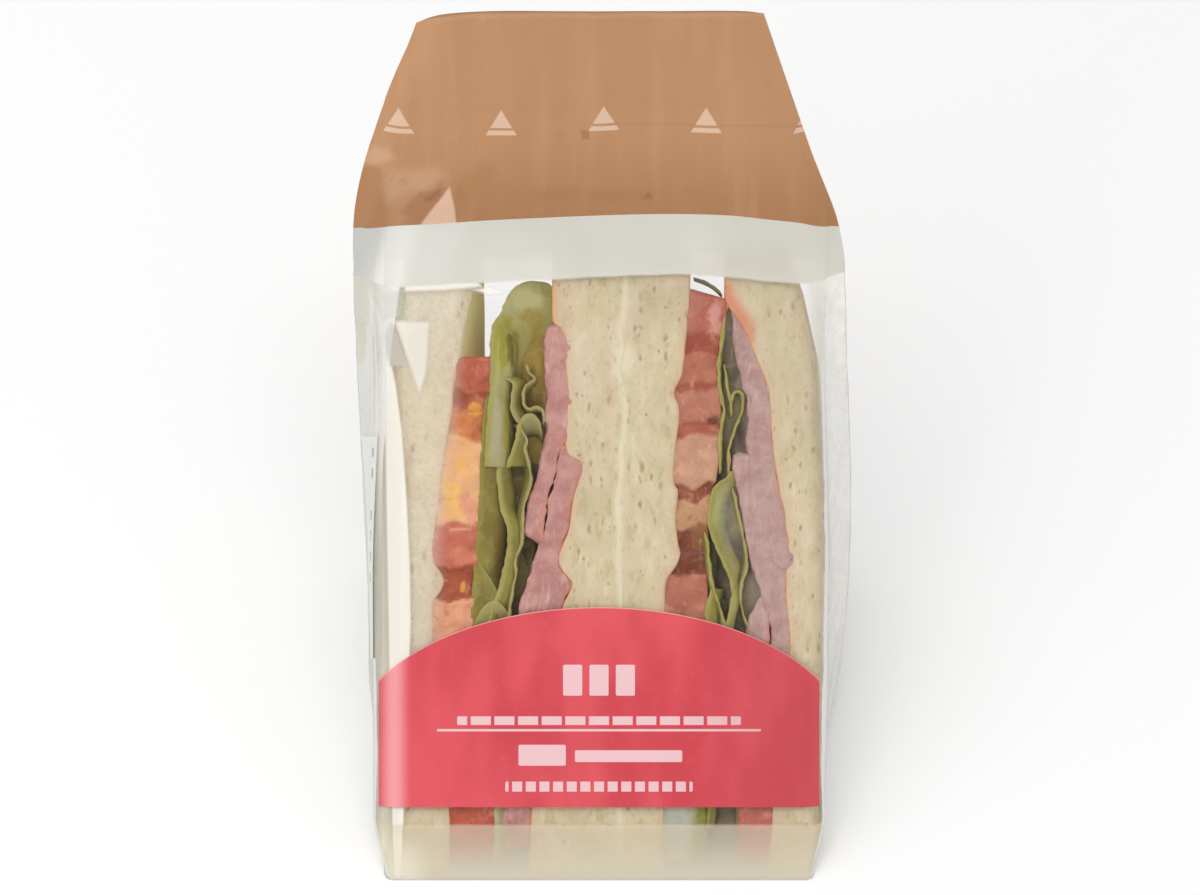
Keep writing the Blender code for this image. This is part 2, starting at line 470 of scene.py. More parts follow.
def bacon_material(name, light, dark, pale):
    """Cured meat on its cut edge: mauve pink with upright fibres, pale fat in soft streaks, few
    dark specks and a reddish smoked rim on its right."""
    p = Paint(name, light)
    place = p.place()
    upright = p.place((1.0, 0.3, 1.0), FACE_TURN)
    fibres = p.noise(p.warped(upright, 0.003, 0.0010), 0.0009, 4.0, 0.65)
    clouds = p.noise(p.warped(place, 0.004, 0.002), 0.0042, 4.0, 0.6)
    marbling = p.noise(p.warped(upright, 0.0026, 0.0020), 0.0020, 3.0, 0.6)
    p.lay(clouds.step(0.38, 0.64), *dark)
    p.lay(marbling.step(0.55, 0.74, 0.6), *pale)
    p.lay(fibres.step(0.52, 0.8, 0.5), *pale)
    p.lay(fibres.step(0.44, 0.2, 0.35), 160, 100, 94)
    p.lay(p.pores(place, 0.0042, 0.4, 0.12) * 0.7, 104, 58, 52)
    _, right, depth = p.mesh_parts("edges")
    smoked = p.noise(place, 0.0026, 3.0) * 2.2 + right
    p.lay(smoked.step(2.0, 1.2, 0.7), 214, 138, 110)
    # painted shade: darker the deeper the meat lies behind the cut face
    p.lay(depth.step(2.5, 7.0, 0.6), 120, 74, 68)
    normal = p.bump(marbling * 1.2 + fibres, 0.00045, 0.7)
    return p.surface(p.shade(0.34, 0.25, (0.18, 0.002, (1.0, 0.4, 0.3)), Normal=normal))


def leaf_material():
    """A leaf in its painted greens, with soft ribs and a few veins."""
    p = Paint("lettuce_leaf")
    place = p.place()
    bent = p.warped(place, 0.006, 0.004)
    clouds = p.noise(bent, 0.0050, 3.0, 0.6)
    ribs = p.noise(p.place((1.0, 0.2, 1.0), FACE_TURN), 0.0016, 3.0)
    to_edge = {"feature": "DISTANCE_TO_EDGE"}
    cells = p.node("TexVoronoi", to_edge, Vector=bent, Scale=1.0 / VEIN_SPACING)
    p.colour = p.mesh_value("tint", "Color")
    p.lay(clouds.step(0.52, 0.74, 0.2), 206, 206, 142)
    p.lay(clouds.step(0.46, 0.28, 0.25), 112, 98, 38)
    p.lay(ribs.step(0.52, 0.76, 0.22), 198, 200, 140)
    p.lay(Wire(p, cells.outputs["Distance"]).step(0.05, 0.0, 0.14), 198, 202, 142)
    normal = p.bump(p.noise(place, 0.0020, 3.0) * 0.7 + ribs, 0.0004, 0.5)
    lit_through = p.node("BsdfTranslucent", Color=p.colour).outputs[0]
    return p.surface(p.mixed(0.3, p.shade(0.38, 0.18, Normal=normal), lit_through))


EDGE_START = -0.0415  # left of this the film turns away, as if round a roller
EDGE_CURL = 36.0
EDGE_REACH = 0.0068
# Painted light and shade on the band under the header, the foot band's cream print tint, and
# painted highlights on the foot's crinkles: corners as (column, row), colour, strength and softness
BAND_TINT_AND_PAINTED_LIGHT = (
    (((345, 224), (388, 222), (372, 292), (345, 292)), (202, 202, 199), 0.8, 0.0012),
    (((388, 222), (424, 220), (404, 286), (372, 292)), (242, 242, 237), 0.55, 0.0016),
    (((388, 222), (470, 218), (450, 286), (372, 292)), (242, 242, 237), 0.45, 0.004),
    (((722, 240), (800, 246), (805, 290), (700, 276)), (206, 200, 184), 0.45, 0.006),
    (((360, 818), (850, 818), (850, 895), (360, 895)), (238, 226, 198), 0.8, 0.001),
    (((368, 836), (396, 828), (418, 850), (424, 886), (374, 890)), (255, 250, 228), 0.8, 0.003),
)
SMOOTH_FROM = 0.6  # facets this strong and stronger are smooth, the others speckled
# Painted reflections, highlights and shade on the film, laid as cloudier facets: corners as
# (column, row), colour, strength and softness
FILM_HAZE_AND_PAINTED_LIGHT = (
    (((373, 392), (385, 392), (387, 440), (386, 470), (376, 476)), (228, 223, 210), 0.75, 0.0018),
    (((376, 466), (387, 462), (391, 640), (393, 880), (377, 880)), (226, 221, 204), 0.7, 0.0018),
    (((383, 336), (388, 348), (396, 385), (402, 430), (407, 500), (410, 560), (411, 620), (408, 720),
     (401, 880), (393, 880), (388, 620)), (255, 252, 241), 0.9, 0.0004),
    (((402, 291), (464, 288), (462, 330), (456, 400), (442, 520), (416, 520), (403, 420), (395, 350)),
     (254, 247, 228), 0.38, 0.0024),
    (((402, 290), (464, 287), (460, 324), (402, 330)), (250, 244, 228), 0.58, 0.0028),
    (((628, 276), (702, 278), (688, 330), (628, 336)), (204, 188, 154), 0.2, 0.004),
    (((404, 500), (442, 500), (432, 680), (406, 680)), (255, 251, 238), 0.36, 0.003),
    (((424, 318), (457, 306), (446, 338), (437, 366), (422, 378)), (250, 245, 228), 0.52, 0.0022),
    (((393, 320), (430, 321), (429, 350), (427, 372), (421, 393), (418, 392)), (251, 248, 237), 0.82,
     0.0009),
    (((392, 320), (383, 335), (384, 348), (390, 366), (408, 366), (403, 350), (399, 338)),
     (211, 204, 194), 0.78, 0.0007),
    (((373, 291), (404, 290), (403, 318), (384, 320)), (222, 223, 214), 0.75, 0.0008),
    (((398, 292), (404, 292), (403, 318), (397, 319)), (196, 200, 186), 0.6, 0.0006),
    (((371, 296), (385, 320), (383, 348), (377, 335)), (238, 238, 230), 0.6, 0.0012),
    (((404, 281), (476, 276), (482, 287), (444, 291), (404, 292)), (255, 253, 244), 0.92, 0.0007),
    (((474, 282), (490, 287), (508, 284), (509, 293), (490, 295), (474, 290)), (254, 253, 246), 0.9,
     0.0006),
    (((728, 277), (804, 288), (818, 380), (826, 520), (830, 660), (792, 660), (770, 500), (752, 340)),
     (224, 214, 188), 0.2, 0.003),
)


def film_material():
    """Clear film: see-through with a slight haze, whitish where printed or crumpled, with painted
    highlights, reflections and shade laid over its facets.
    """
    p = Paint("clear_film", (228, 226, 217))
    place = p.place()
    across, _, _ = p.parts(place)
    side = p.mesh_value("side")
    front = p.mesh_value("front")
    printed = p.mesh_value("band").step(-0.00035, 0.00025)
    unprinted = 1.0 - printed
    p.lay(p.noise(place, 0.012, 2.0), 218, 215, 203)
    p.lay_facets(BAND_TINT_AND_PAINTED_LIGHT, front)
    # painted shade and light: the left side panel greyer, the right one whiter
    right = across.step(-0.02, 0.02)
    panels = p.blend(right, tone(217, 217, 204), tone(255, 254, 247))
    flakes = p.noise(p.warped(place, 0.002, 0.002), 0.0022, 3.0, 0.7).step(0.42, 0.62) * right
    p.lay(side * unprinted, p.blend(flakes * 0.7, panels, tone(241, 241, 233)))
    crumple = p.noise(p.warped(place, 0.008, 0.006), 0.0080, 3.0, 0.5)
    haze = side * crumple.step(0.34, 0.66, 0.88, start=0.74) + 0.008
    grit = p.noise(p.warped(place, 0.0012, 0.0012), 0.0013, 3.0, 0.65)
    speckle_mask = front * grit.step(0.36, 0.64, 1.0, start=0.80)
    # painted highlights, reflections and shade, each also raising the haze
    for corners, colour, amount, soft_edge in FILM_HAZE_AND_PAINTED_LIGHT:
        patch = p.patch(corners, soft_edge) * (speckle_mask if amount < SMOOTH_FROM else front)
        haze = most(haze, patch * amount)
        p.lay(patch * unprinted, *colour)
    haze = most(haze, printed * p.mesh_value("cover"))
    fine = p.noise(place, 0.0015, 3.0, 0.6) * side.step(0.0, 1.0, 0.12, start=0.10)
    creases = p.noise(place, 0.0050, 2.0, 0.5) * side
    soft = creases * 1.2 + p.noise(place, 0.013, 2.0)
    turned_away = least(most(EDGE_START - across, 0.0), EDGE_REACH)
    normal = p.rolled(turned_away, p.bump(soft * 0.8 + fine, 0.0005, 0.5))
    lit_through = p.node("BsdfTranslucent", Color=p.colour).outputs[0]
    veil = p.mixed(0.15, p.shade(0.5, 0.3, Normal=normal), lit_through)
    hazy = p.mixed(haze, p.node("BsdfTransparent").outputs[0], veil)
    shine = p.node("BsdfGlossy", Roughness=0.13, Normal=normal).outputs[0]
    edge_on = Wire(p, p.node("Fresnel", IOR=1.3, Normal=normal).outputs[0])
    return p.surface(p.mixed(edge_on * (side * -0.5 + 1.0), hazy, shine))


# Printed marks on the header: small triangles, each cut by a bar
MARK_PITCH = 0.0224
MARK_HALF = 0.0034
MARK_HEIGHT = 0.0050
MARK_FOOT = 0.1222
MARK_BAR = 0.0012
MARK_BAR_HALF = 0.00025
PRINT_BLUR = 0.00008
# Painted highlights and shade on the header's crushed corner, dark marks showing through from the
# back, and a crease line painted as shade: corners as (column, row), colour, strength and softness
HEADER_MARKS_AND_PAINTED_LIGHT = (
    (((350, 166), (381, 166), (384, 185), (388, 212), (386, 234), (345, 238)), (168, 120, 78), 0.75,
     0.0006),
    (((364, 148), (390, 150), (396, 160), (381, 166), (356, 165)), (208, 166, 132), 0.55, 0.0012),
    (((385, 170), (440, 168), (452, 187), (424, 194), (392, 214), (386, 190)), (208, 164, 130), 0.45,
     0.002),
    (((389, 198), (426, 196), (420, 212), (400, 226), (389, 228)), (196, 150, 114), 0.25, 0.0014),
    (((454, 188), (483, 166), (495, 170), (489, 187), (470, 202), (457, 212)), (168, 122, 76), 0.6,
     0.0016),
    (((450, 188), (453, 188), (455, 208), (457, 216), (456, 226), (420, 226)), (228, 188, 164), 0.8,
     0.00035),
    (((449, 188), (441, 200), (429, 212), (418, 222), (400, 214), (420, 193)), (162, 112, 76), 0.6,
     0.0006),
    (((533, 191), (577, 190), (578, 199), (535, 201)), (158, 110, 70), 0.4, 0.0012),
    (((585, 190), (655, 192), (650, 203), (590, 204)), (158, 110, 70), 0.35, 0.0012),
    (((643, 199), (648, 192), (653, 199)), (138, 94, 58), 0.6, 0.0003),
    (((581, 132), (589, 132), (590, 141), (582, 141)), (146, 102, 62), 0.55, 0.0004),
    (((590, 124), (820, 128), (820, 130), (590, 126)), (168, 120, 80), 0.35, 0.0002),
)


def header_material():
    """Tan print on film, with a row of small pale triangles, faint scuffs, and painted light and
    shade on its waves, creases and lower part.
    """
    p = Paint("header_print", (187, 139, 98))
    place = p.place()
    across, _, height = p.parts(place)
    p.lay(p.noise(place, 0.018, 3.0, 0.6), 180, 132, 92)
    # painted shade: darker towards the header's foot, by the neck
    p.lay(height.step(0.124, 0.103) * 0.9, 163, 114, 73)
    rubbed = p.noise(p.place((1.0, 1.0, 0.3)), 0.004, 4.0, 0.7)
    p.lay(rubbed.step(0.58, 0.8, 0.16), 214, 172, 134)
    smudge = p.noise(p.place((0.5, 1.0, 1.0), shift=(0.4, 0.0, 0.0)), 0.0042, 2.0)
    p.lay(smudge.step(0.68, 0.78, 0.25), 150, 104, 66)
    # painted light and shade in soft upright bands, as on the film's waves
    wave_shading = p.noise(p.place((1.0, 0.10, 0.10)), 0.0062, 3.0, 0.6)
    p.lay(wave_shading.step(0.46, 0.76, 0.30), 201, 157, 117)
    p.lay(wave_shading.step(0.52, 0.24, 0.30), 178, 130, 90)
    p.lay_facets(HEADER_MARKS_AND_PAINTED_LIGHT, p.mesh_value("front"))
    rise = height - MARK_FOOT
    room = rise * (-MARK_HALF / MARK_HEIGHT) + MARK_HALF
    triangle = least(room - abs(across.wrap(MARK_PITCH)), rise)
    mark = least(triangle, abs(rise - MARK_BAR) - MARK_BAR_HALF).step(-PRINT_BLUR, PRINT_BLUR)
    p.lay(mark * 0.72, 226, 196, 172)
    normal = p.bump(p.noise(place, 0.0018, 3.0) * 0.22 + p.noise(place, 0.009, 3.0), 0.0005, 0.5)
    return p.surface(p.shade(0.44, 0.4, Normal=normal))


# Pale printed bars: middle across, up the front, half width and half height
LABEL_BARS = (
    *((middle, 0.0442, 0.0021, 0.0034) for middle in (-0.0058, 0.0, 0.0058)),
    (0.0, 0.0332, 0.0357, 0.00026),
    (-0.0125, 0.0277, 0.0052, 0.0023),
    (0.0065, 0.0275, 0.0118, 0.0013),
)
# The same for rows of short dashes: up the front, half width, half height, and dash length
LABEL_DASHES = ((0.0353, 0.0312, 0.00095, 0.0052), (0.0208, 0.0206, 0.0011, 0.0030))
DASH_GAP = 0.0004  # half of the gap between two dashes
BAR_ROUNDING = 0.0006
SHEEN_PLACE = -0.0452  # a painted sheen runs up the label here
SHEEN_REACH = 0.0040


def label_material():
    """Red label print: a pale edge along the arch, a rule, pale bars in place of words, a painted
    sheen on the left and painted shade to the right.
    """
    p = Paint("front_label_print", (222, 78, 88))
    place = p.place()
    across, up = p.over_front()

    def bar(middle, row, half_width, half_height):
        over = half_width - abs(across - middle)
        tall = half_height - abs(up - row)
        return p.math("SMOOTH_MIN", over, tall, BAR_ROUNDING)

    bars = [bar(*sizes) for sizes in LABEL_BARS]
    for row, half_width, half_height, dash in LABEL_DASHES:
        gap = (dash * 0.5 - DASH_GAP) - abs(across.wrap(dash))
        bars.append(least(bar(0.0, row, half_width, half_height), gap))
    ink = bars[0]
    for other in bars[1:]:
        ink = most(ink, other)
    ratio = across / ARCH_HALF_SPAN
    crown = p.math("SQRT", 1.0 - ratio * ratio) * ARCH_RISE + (LABEL_CROWN - ARCH_RISE)
    # painted shade: soft darker upright streaks
    p.lay(p.noise(p.place((1.0, 0.4, 0.4)), 0.014, 2.0).step(0.34, 0.66), 204, 58, 70)
    p.lay(p.noise(place, 0.0016, 3.0).step(0.5, 0.8, 0.15), 232, 104, 112)
    p.lay(ink.step(-0.00006, 0.00006) * 0.85, 238, 205, 208)
    p.lay((crown - up).step(0.00036, 0.00018) * 0.6, 246, 186, 180)
    p.lay(abs(across - SHEEN_PLACE).step(SHEEN_REACH, 0.0) * 0.62, 255, 182, 186)
    # painted shade: darker towards the right, away from the light
    p.lay(across.step(0.012, 0.048, 0.35), 176, 64, 76)
    turned_away = most((EDGE_START - CENTRE_X) - across, 0.0)
    ripples = p.noise(p.place((1.0, 0.2, 0.2)), 0.010, 2.0)
    bumps = p.noise(place, 0.0007, 3.0) * 0.10 + ripples
    normal = p.rolled(turned_away, p.bump(bumps, 0.0006, 0.6))
    return p.surface(p.shade(0.36, 0.5, Normal=normal))


SIDE_PRINT = (0.0021, 0.0034)  # how far behind the front the side label's marks start and end
SIDE_PRINT_PITCH = 0.0046


def side_label_material():
    """Pale paper with a column of small grey bars, in place of small print."""
    p = Paint("side_label_print", (222, 222, 215))
    place = p.place()
    _, y, z = p.parts(place)
    _, up = p.over_front()
    depth = (y - FRONT_FOOT_Y - z) * SLOPE
    start, end = SIDE_PRINT
    column = least(depth - start, end - depth).step(-0.0002, 0.0002)
    bar = abs(up.wrap(SIDE_PRINT_PITCH, 0.0) - SIDE_PRINT_PITCH * 0.5).step(0.0012, 0.0009)
    some = p.noise(p.place((0.2, 1.0, 1.0)), 0.006, 1.0).step(0.44, 0.50)
    p.lay(p.noise(place, 0.02, 1.0), 214, 215, 207)
    p.lay(column * bar * some * 0.65, 120, 122, 122)
    return p.surface(p.shade(0.5, Normal=p.bump(p.noise(place, 0.0008), 0.0001, 0.4)))


# meshes


def add_object(name, mesh, material):
    """A piece that rides on the pack's only body."""
    mesh.shade_smooth()
    mesh.materials.append(material)
    obj = bpy.data.objects.new(name, mesh)
    bpy.context.scene.collection.objects.link(obj)
    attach(obj, "root")
    return obj


def keep_values(mesh, name, values):
    """Keep a number or a triple at each vertex, under a name that a material reads."""
    single = isinstance(values[0], (int, float))
    layer = mesh.attributes.new(name, "FLOAT" if single else "FLOAT_VECTOR", "POINT")
    numbers = values if single else [part for value in values for part in value]
    layer.data.foreach_set("value" if single else "vector", numbers)


def add_piece(name, vertices, faces, material, **values):
    mesh = bpy.data.meshes.new(name)
    mesh.from_pydata(vertices, [], faces)
    mesh.update()
    for key, kept in values.items():
        keep_values(mesh, key, kept)
    bm = bmesh.new()
    bm.from_mesh(mesh)
    bmesh.ops.recalc_face_normals(bm, faces=bm.faces[:])
    bm.to_mesh(mesh)
    bm.free()
    return add_object(name, mesh, material)


def roughen(obj, height):
    """Move each vertex along its normal by height(place), in metres."""
    mesh = obj.data
    normals = [v.normal.copy() for v in mesh.vertices]
    for vertex, normal in zip(mesh.vertices, normals):
        vertex.co += normal * height(vertex.co)
    mesh.update()


def ring_faces(rings, count):
    faces = []
    for start in range(0, (rings - 1) * count, count):
        for i in range(count):
            j = (i + 1) % count
            faces.append((start + i, start + j, start + count + j, start + count + i))
    return faces


FULLEST_BEND = 0.48  # the largest bend, as a share of a slab's width and depth
SIDE_CROWDING = 1.4  # crowds the side's points towards the front


def rounded_ring(left, right, front, back, bends, steps):
    """(across, behind) places round a slab's section, its front corners rounded."""
    front_steps, bend_steps, side_steps, back_steps = steps
    a, b = (min(bend, (right - left) * FULLEST_BEND, (back - front) * FULLEST_BEND) for bend in bends)
    turns = [math.radians(90.0) * i / bend_steps for i in range(bend_steps + 1)]
    crowded = [(i / side_steps) ** SIDE_CROWDING for i in range(side_steps + 1)]
    points = [(mix(left + a, right - b, i / front_steps), front) for i in range(front_steps)]
    points += [(right - b + b * math.sin(t), front + b - b * math.cos(t)) for t in turns[:-1]]
    points += [(right, mix(front + b, back, share)) for share in crowded[:-1]]
    points += [(mix(right, left, i / back_steps), back) for i in range(back_steps)]
    points += [(left, mix(front + a, back, share)) for share in crowded[:0:-1]]
    points += [(left + a - a * math.sin(t), front + a - a * math.cos(t)) for t in turns[:0:-1]]
    return points


STRAIGHT = (flat(0.0), flat(0.0))
LEAN_REACH = 9.0  # an inner face leans for this far in, in millimetres
SLANT_REACH = 6.0  # a slanted end is worked in over this length
RELIEF_REACH = 7.0  # relief fades out this far in
BACK_ROOM = 1.9  # between the fillings and the pack's back and base
THINNEST = 0.3  # the least width of a section
SHALLOWEST = 0.4  # and its least depth


def wedge_back(up):
    """How far the triangular filling reaches in behind the cut face."""
    return max(min(up, PRISM - up) - BACK_ROOM, CLEAR)


def slab(
    name, material, low, high, left, right, front=CLEAR, bends=(0.8, 0.8), lean=STRAIGHT, end=0.8,
    steps=(26, 5, 14, 6), grain=GRAIN, soaked=flat(0.0), relief=None, paint=None,
    slant=(0.0, 0.0), short=0.0,
):
    """A solid between two edges that run up the cut face, closed and rounded at both ends. A
    slant lifts the right of its low or high end, and it ends this short of the back and base, in
    millimetres."""
    stations = max(int((high - low) / grain), 6)
    vertices, edges, tints, stains = [], [], [], []
    for row in range(stations + 1):
        up = mix(low, high, row / stations)
        over = max(1.0 - min(up - low, high - up) / end, 0.0)
        tuck = end * (1.0 - math.sqrt(max(1.0 - over * over, 0.0)))
        near = front + tuck
        far = max(wedge_back(up) - short - tuck, near + SHALLOWEST)
        a, b = left(up) + tuck, right(up) - tuck
        if b < a + THINNEST:
            middle = (a + b) * 0.5
            a, b = middle - THINNEST * 0.5, middle + THINNEST * 0.5
        leans = [side(up) for side in lean]
        low_lift = slant[0] * (1.0 - ease(up, low, low + SLANT_REACH))
        high_lift = slant[1] * ease(up, high - SLANT_REACH, high)
        for across, behind in rounded_ring(a, b, near, far, bends, steps):
            share = (across - a) / (b - a)
            inside = behind - near
            moved = across + mix(*leans, share) * min(inside, LEAN_REACH)
            if relief:
                behind += relief(across, up) * (1.0 - ease(inside, 0.0, RELIEF_REACH))
            vertices.append(cut_point(moved, up + share * (low_lift + high_lift), behind))
            edges.append((across - left(up), right(up) - across, behind - CLEAR))
            stains.append(soaked(up))
            if paint:
                tints.append(paint(across, up))
    count = len(vertices) // (stations + 1)
    faces = ring_faces(stations + 1, count)
    faces.append(tuple(reversed(range(count))))
    faces.append(tuple(range(len(vertices) - count, len(vertices))))
    tint = {"tint": tints} if paint else {}
    return add_piece(name, vertices, faces, material, edges=edges, soaked=stains, **tint)


def lumps(size, height, seed=0.0, detail=2):
    """Smooth random bumps of about this size and height, in millimetres."""

    def at(co):
        place = co / (size * MM) + Vector((seed, seed * 0.7, -seed))
        return noise.fractal(place, 1.0, 2.0, detail) * height * MM

    return at


# bread

BREAD_1_LEFT = [
    (1, -48.4), (53, -48.4), (84, -47.9), (106, -46.8), (117, -45.9), (128, -44.3), (139, -42.6),
]
BREAD_1_RIGHT = [
    (1, -32.8), (15.6, -32.8), (41.6, -35), (53, -36.3), (61.5, -36.3), (63.6, -34.8), (66.2, -34.1),
    (70.6, -36.3), (77.2, -36.1), (81.6, -35.4), (88.2, -34.8), (93.7, -33.9), (99.2, -33),
    (103.2, -32.3), (109, -32.1), (115.7, -31), (123.4, -29.4), (130, -27.7), (139, -26.5),
]
BREAD_2_LEFT = from_photo(
    [(551.5, 276), (551.5, 316), (553, 323), (558, 328), (562, 333), (565, 342), (565, 360),
     (566.5, 384), (567, 402), (566, 420), (565, 436), (565, 448), (567, 454), (573, 458), (580, 463),
     (580.5, 474), (575, 487), (571, 506), (568, 530), (562, 546), (558, 560), (563, 573), (571, 583),
     (568, 594), (562, 606), (555, 640), (535, 760), (529, 850)]
)
BREAD_JOINT = from_photo(
    [(625, 276), (624, 305), (621, 330), (622, 350), (619, 368), (623, 390), (624.5, 410), (624, 430),
     (621, 450), (621, 475), (617.5, 495), (617, 510), (619.5, 530), (618, 550), (620, 580), (621, 620),
     (620, 880)]
)
BREAD_3_RIGHT = [
    (1, 14.4), (15, 14.5), (61.8, 14.5), (66.2, 15), (69.5, 17.2), (71.7, 18), (73.9, 17.6),
    (79.4, 16.9), (86, 17.4), (87.1, 16.7), (90.4, 16.5), (97, 17.2), (101.4, 17.8), (104.7, 17.6),
    (107.4, 16.7), (112, 18.5), (118.6, 19.1), (127.8, 20), (139, 20.3),
]
BREAD_4_LEFT = from_photo(
    [(725, 276), (725, 298), (727, 304), (730, 309), (734, 314), (740, 322), (746, 334), (753, 350),
     (760.5, 368), (767, 386), (769.5, 402), (771, 430), (772.5, 452), (777, 480), (781.5, 505),
     (785.5, 530), (787, 550), (785.5, 575), (785.5, 602), (789, 640), (779, 740), (767, 850)]
)
BREAD_4_RIGHT = [
    (1, 47.8), (15, 48.2), (57.4, 49), (71.7, 48.9), (99, 48), (113.5, 47.3), (123.4, 45.3), (131, 43.6),
    (139, 42),
]
LEFT, RIGHT = 0, 1  # a slice's sides, in the order of its edge distances
BREAD_ROOM = 1.7  # above the foot of the cut face and below its top
SEAM_GAP = 0.45  # half of the room left between the middle slices
OPEN_FROM = 112.0  # above here the two outer slices show their inner faces
INNER_EDGE = -25.4  # where the first slice's inner face ends, seen from the front
OUTER_LEAN = 0.16
CRUMB_CELL = 1.35  # a pocket, an open patch, a wave and a grain of the crumb, in millimetres
CRUMB_PATCH = 2.3
CRUMB_WAVE = 8.0
CRUMB_GRAIN = 0.9
POCKET_DEPTH = 0.34  # and how deep they are
WAVE_DEPTH = 0.26
GRAIN_DEPTH = 0.04
POCKET_SHADE_LEVEL = -0.06  # crumb lower than this is painted darker, as shade in its pockets
AWAY = 100.0  # a distance in millimetres that no stain or seam reaches
SIDE_ROOM = 0.0005  # between the bread and the side panels
CORNER_ROOM = 0.0030  # the film's rounded corners take up this much


def crumb_height(seed):
    """The open texture of cut crumb: small upright pockets in a softly uneven face."""

    def at(co):
        face = Vector((co.x, (co.y + co.z) * SLOPE * 0.5, (co.y - co.z) * SLOPE)) / MM
        place = face + Vector((seed * 31.0, seed * 17.0, 0.0))
        near = noise.voronoi(place / CRUMB_CELL)[0][0]
        open_here = ease(noise.noise(place / CRUMB_PATCH), 0.0, 0.55)
        pocket = (1.0 - ease(near, 0.05, 0.40)) * open_here
        wave = noise.fractal(place / CRUMB_WAVE, 1.0, 2.0, 2) * WAVE_DEPTH
        tiny = noise.noise(place / CRUMB_GRAIN) * GRAIN_DEPTH
        return (wave + tiny - pocket * POCKET_DEPTH) * MM

    return at


def place_stains(bread, filling, seam):
    """Keep only the filling's side in the edge distances, and note how far the seam's side is."""
    distances = bread.data.attributes["edges"].data
    far_from_seam = [AWAY] * len(distances)
    if seam is not None:
        far_from_seam = [kept.vector[seam] for kept in distances]
    for kept in distances:
        kept.vector[1 - filling] = AWAY
    keep_values(bread.data, "seam", far_from_seam)


def keep_inside(obj):
    """Hold a piece's sides clear of the film's side panels."""
    for vertex in obj.data.vertices:
        y, z = vertex.co.y, vertex.co.z
        depth = half_depth(z)
        share = min(abs(y - CENTRE_Y - z * SEAM_LEAN) / depth, 1.0)
        corner = max(CORNER_ROOM - depth * (1.0 - share), 0.0) * 0.5
        width = mix(seam_half(z), face_half(z), share) * foot_taper(z)
        room = width - side_sag(depth, share) - corner - SIDE_ROOM
        middle = CENTRE_X + seam_shift(z) * (1.0 - share)
        vertex.co.x = min(max(vertex.co.x, middle - room), middle + room)
    obj.data.update()


def make_bread(number, crumb, left, right, bends, soaked, filling, seam=None, lean=STRAIGHT):
    bread = slab(
        "bread_%d" % number, crumb, BREAD_ROOM, PRISM - BREAD_ROOM, through(left), through(right),
        bends=bends, lean=lean, end=1.2, steps=(34, 5, 22, 12), soaked=soaked,
    )
    place_stains(bread, filling, seam)
    height = crumb_height(number)
    heights = [height(v.co) / MM for v in bread.data.vertices]
    roughen(bread, height)
    # how far below that level each point lies, for the painted shade in the pockets
    depths = [(POCKET_SHADE_LEVEL - level) / POCKET_DEPTH for level in heights]
    keep_values(bread.data, "pocket", [min(max(depth, 0.0), 1.0) for depth in depths])
    keep_inside(bread)


def shifted(points, by):
    return [(up, across + by) for up, across in points]


def build_bread():
    """Two slices to each sandwich. The middle two press together into one pale seam, partly a
    painted highlight.
    """
    crumb = bread_material()
    first_edge = through(BREAD_1_RIGHT)

    def first_lean(up):
        room = max(min(LEAN_REACH, wedge_back(up) - CLEAR), 1.0)
        return ease(up, OPEN_FROM - 5.0, OPEN_FROM) * (INNER_EDGE - first_edge(up)) / room

    make_bread(
        1, crumb, BREAD_1_LEFT, BREAD_1_RIGHT, (5.0, 0.7),
        lambda up: 0.5 * (1.0 - ease(up, OPEN_FROM, OPEN_FROM + 2.0)), RIGHT,
        lean=(flat(0.0), first_lean),
    )
    make_bread(
        2, crumb, BREAD_2_LEFT, shifted(BREAD_JOINT, SEAM_GAP), (0.8, 0.12),
        lambda up: 0.6 + 1.2 * ease(up, 118.0, 123.0), LEFT, RIGHT,
    )
    make_bread(
        3, crumb, shifted(BREAD_JOINT, -SEAM_GAP), BREAD_3_RIGHT, (0.12, 0.8), flat(0.5), RIGHT, LEFT,
    )
    make_bread(
        4, crumb, BREAD_4_LEFT, BREAD_4_RIGHT, (0.8, 3.2),
        lambda up: 0.6 + 4.6 * bell(up, 125.0, 11.0), LEFT, lean=(flat(0.0), flat(OUTER_LEAN)),
    )


# tomato

BLUR = 0.45  # half the width of a border between two zones


def toned(rows):
    """The rows with the colour at the end of each made linear."""
    return [(*row[:-1], tone(*row[-1])) for row in rows]


def zoned(zones, seed):
    """Relief and colour of a filling in zones up the cut face, each (top, depth, colour), with
    slanted, wavy borders."""
    tops = [zone[0] for zone in zones]
    borders = list(zip([0.0] + tops, tops))

    def bumps(across, up, wide, tall, shift):
        return noise.noise(Vector((across / wide, up / tall, seed + shift)))

    def shares_of(across, up):
        place = up + bumps(across, up, 5.0, 9.0, 0.0) * 2.2 + bumps(across, up, 1.6, 1.8, 4.0) * 0.5
        shares = [
            ease(place, low - BLUR, low + BLUR) * (1.0 - ease(place, high - BLUR, high + BLUR))
            for low, high in borders
        ]
        total = sum(shares) or 1.0
        return [share / total for share in shares]

    def relief(across, up):
        depth = sum(s * zone[1] for s, zone in zip(shares_of(across, up), zones))
        return depth - bumps(across, up, 3.2, 3.6, 9.0) * 0.7

    def paint(across, up):
        shares = shares_of(across, up)
        return [sum(s * zone[2][i] for s, zone in zip(shares, zones)) for i in range(3)]

    return relief, paint


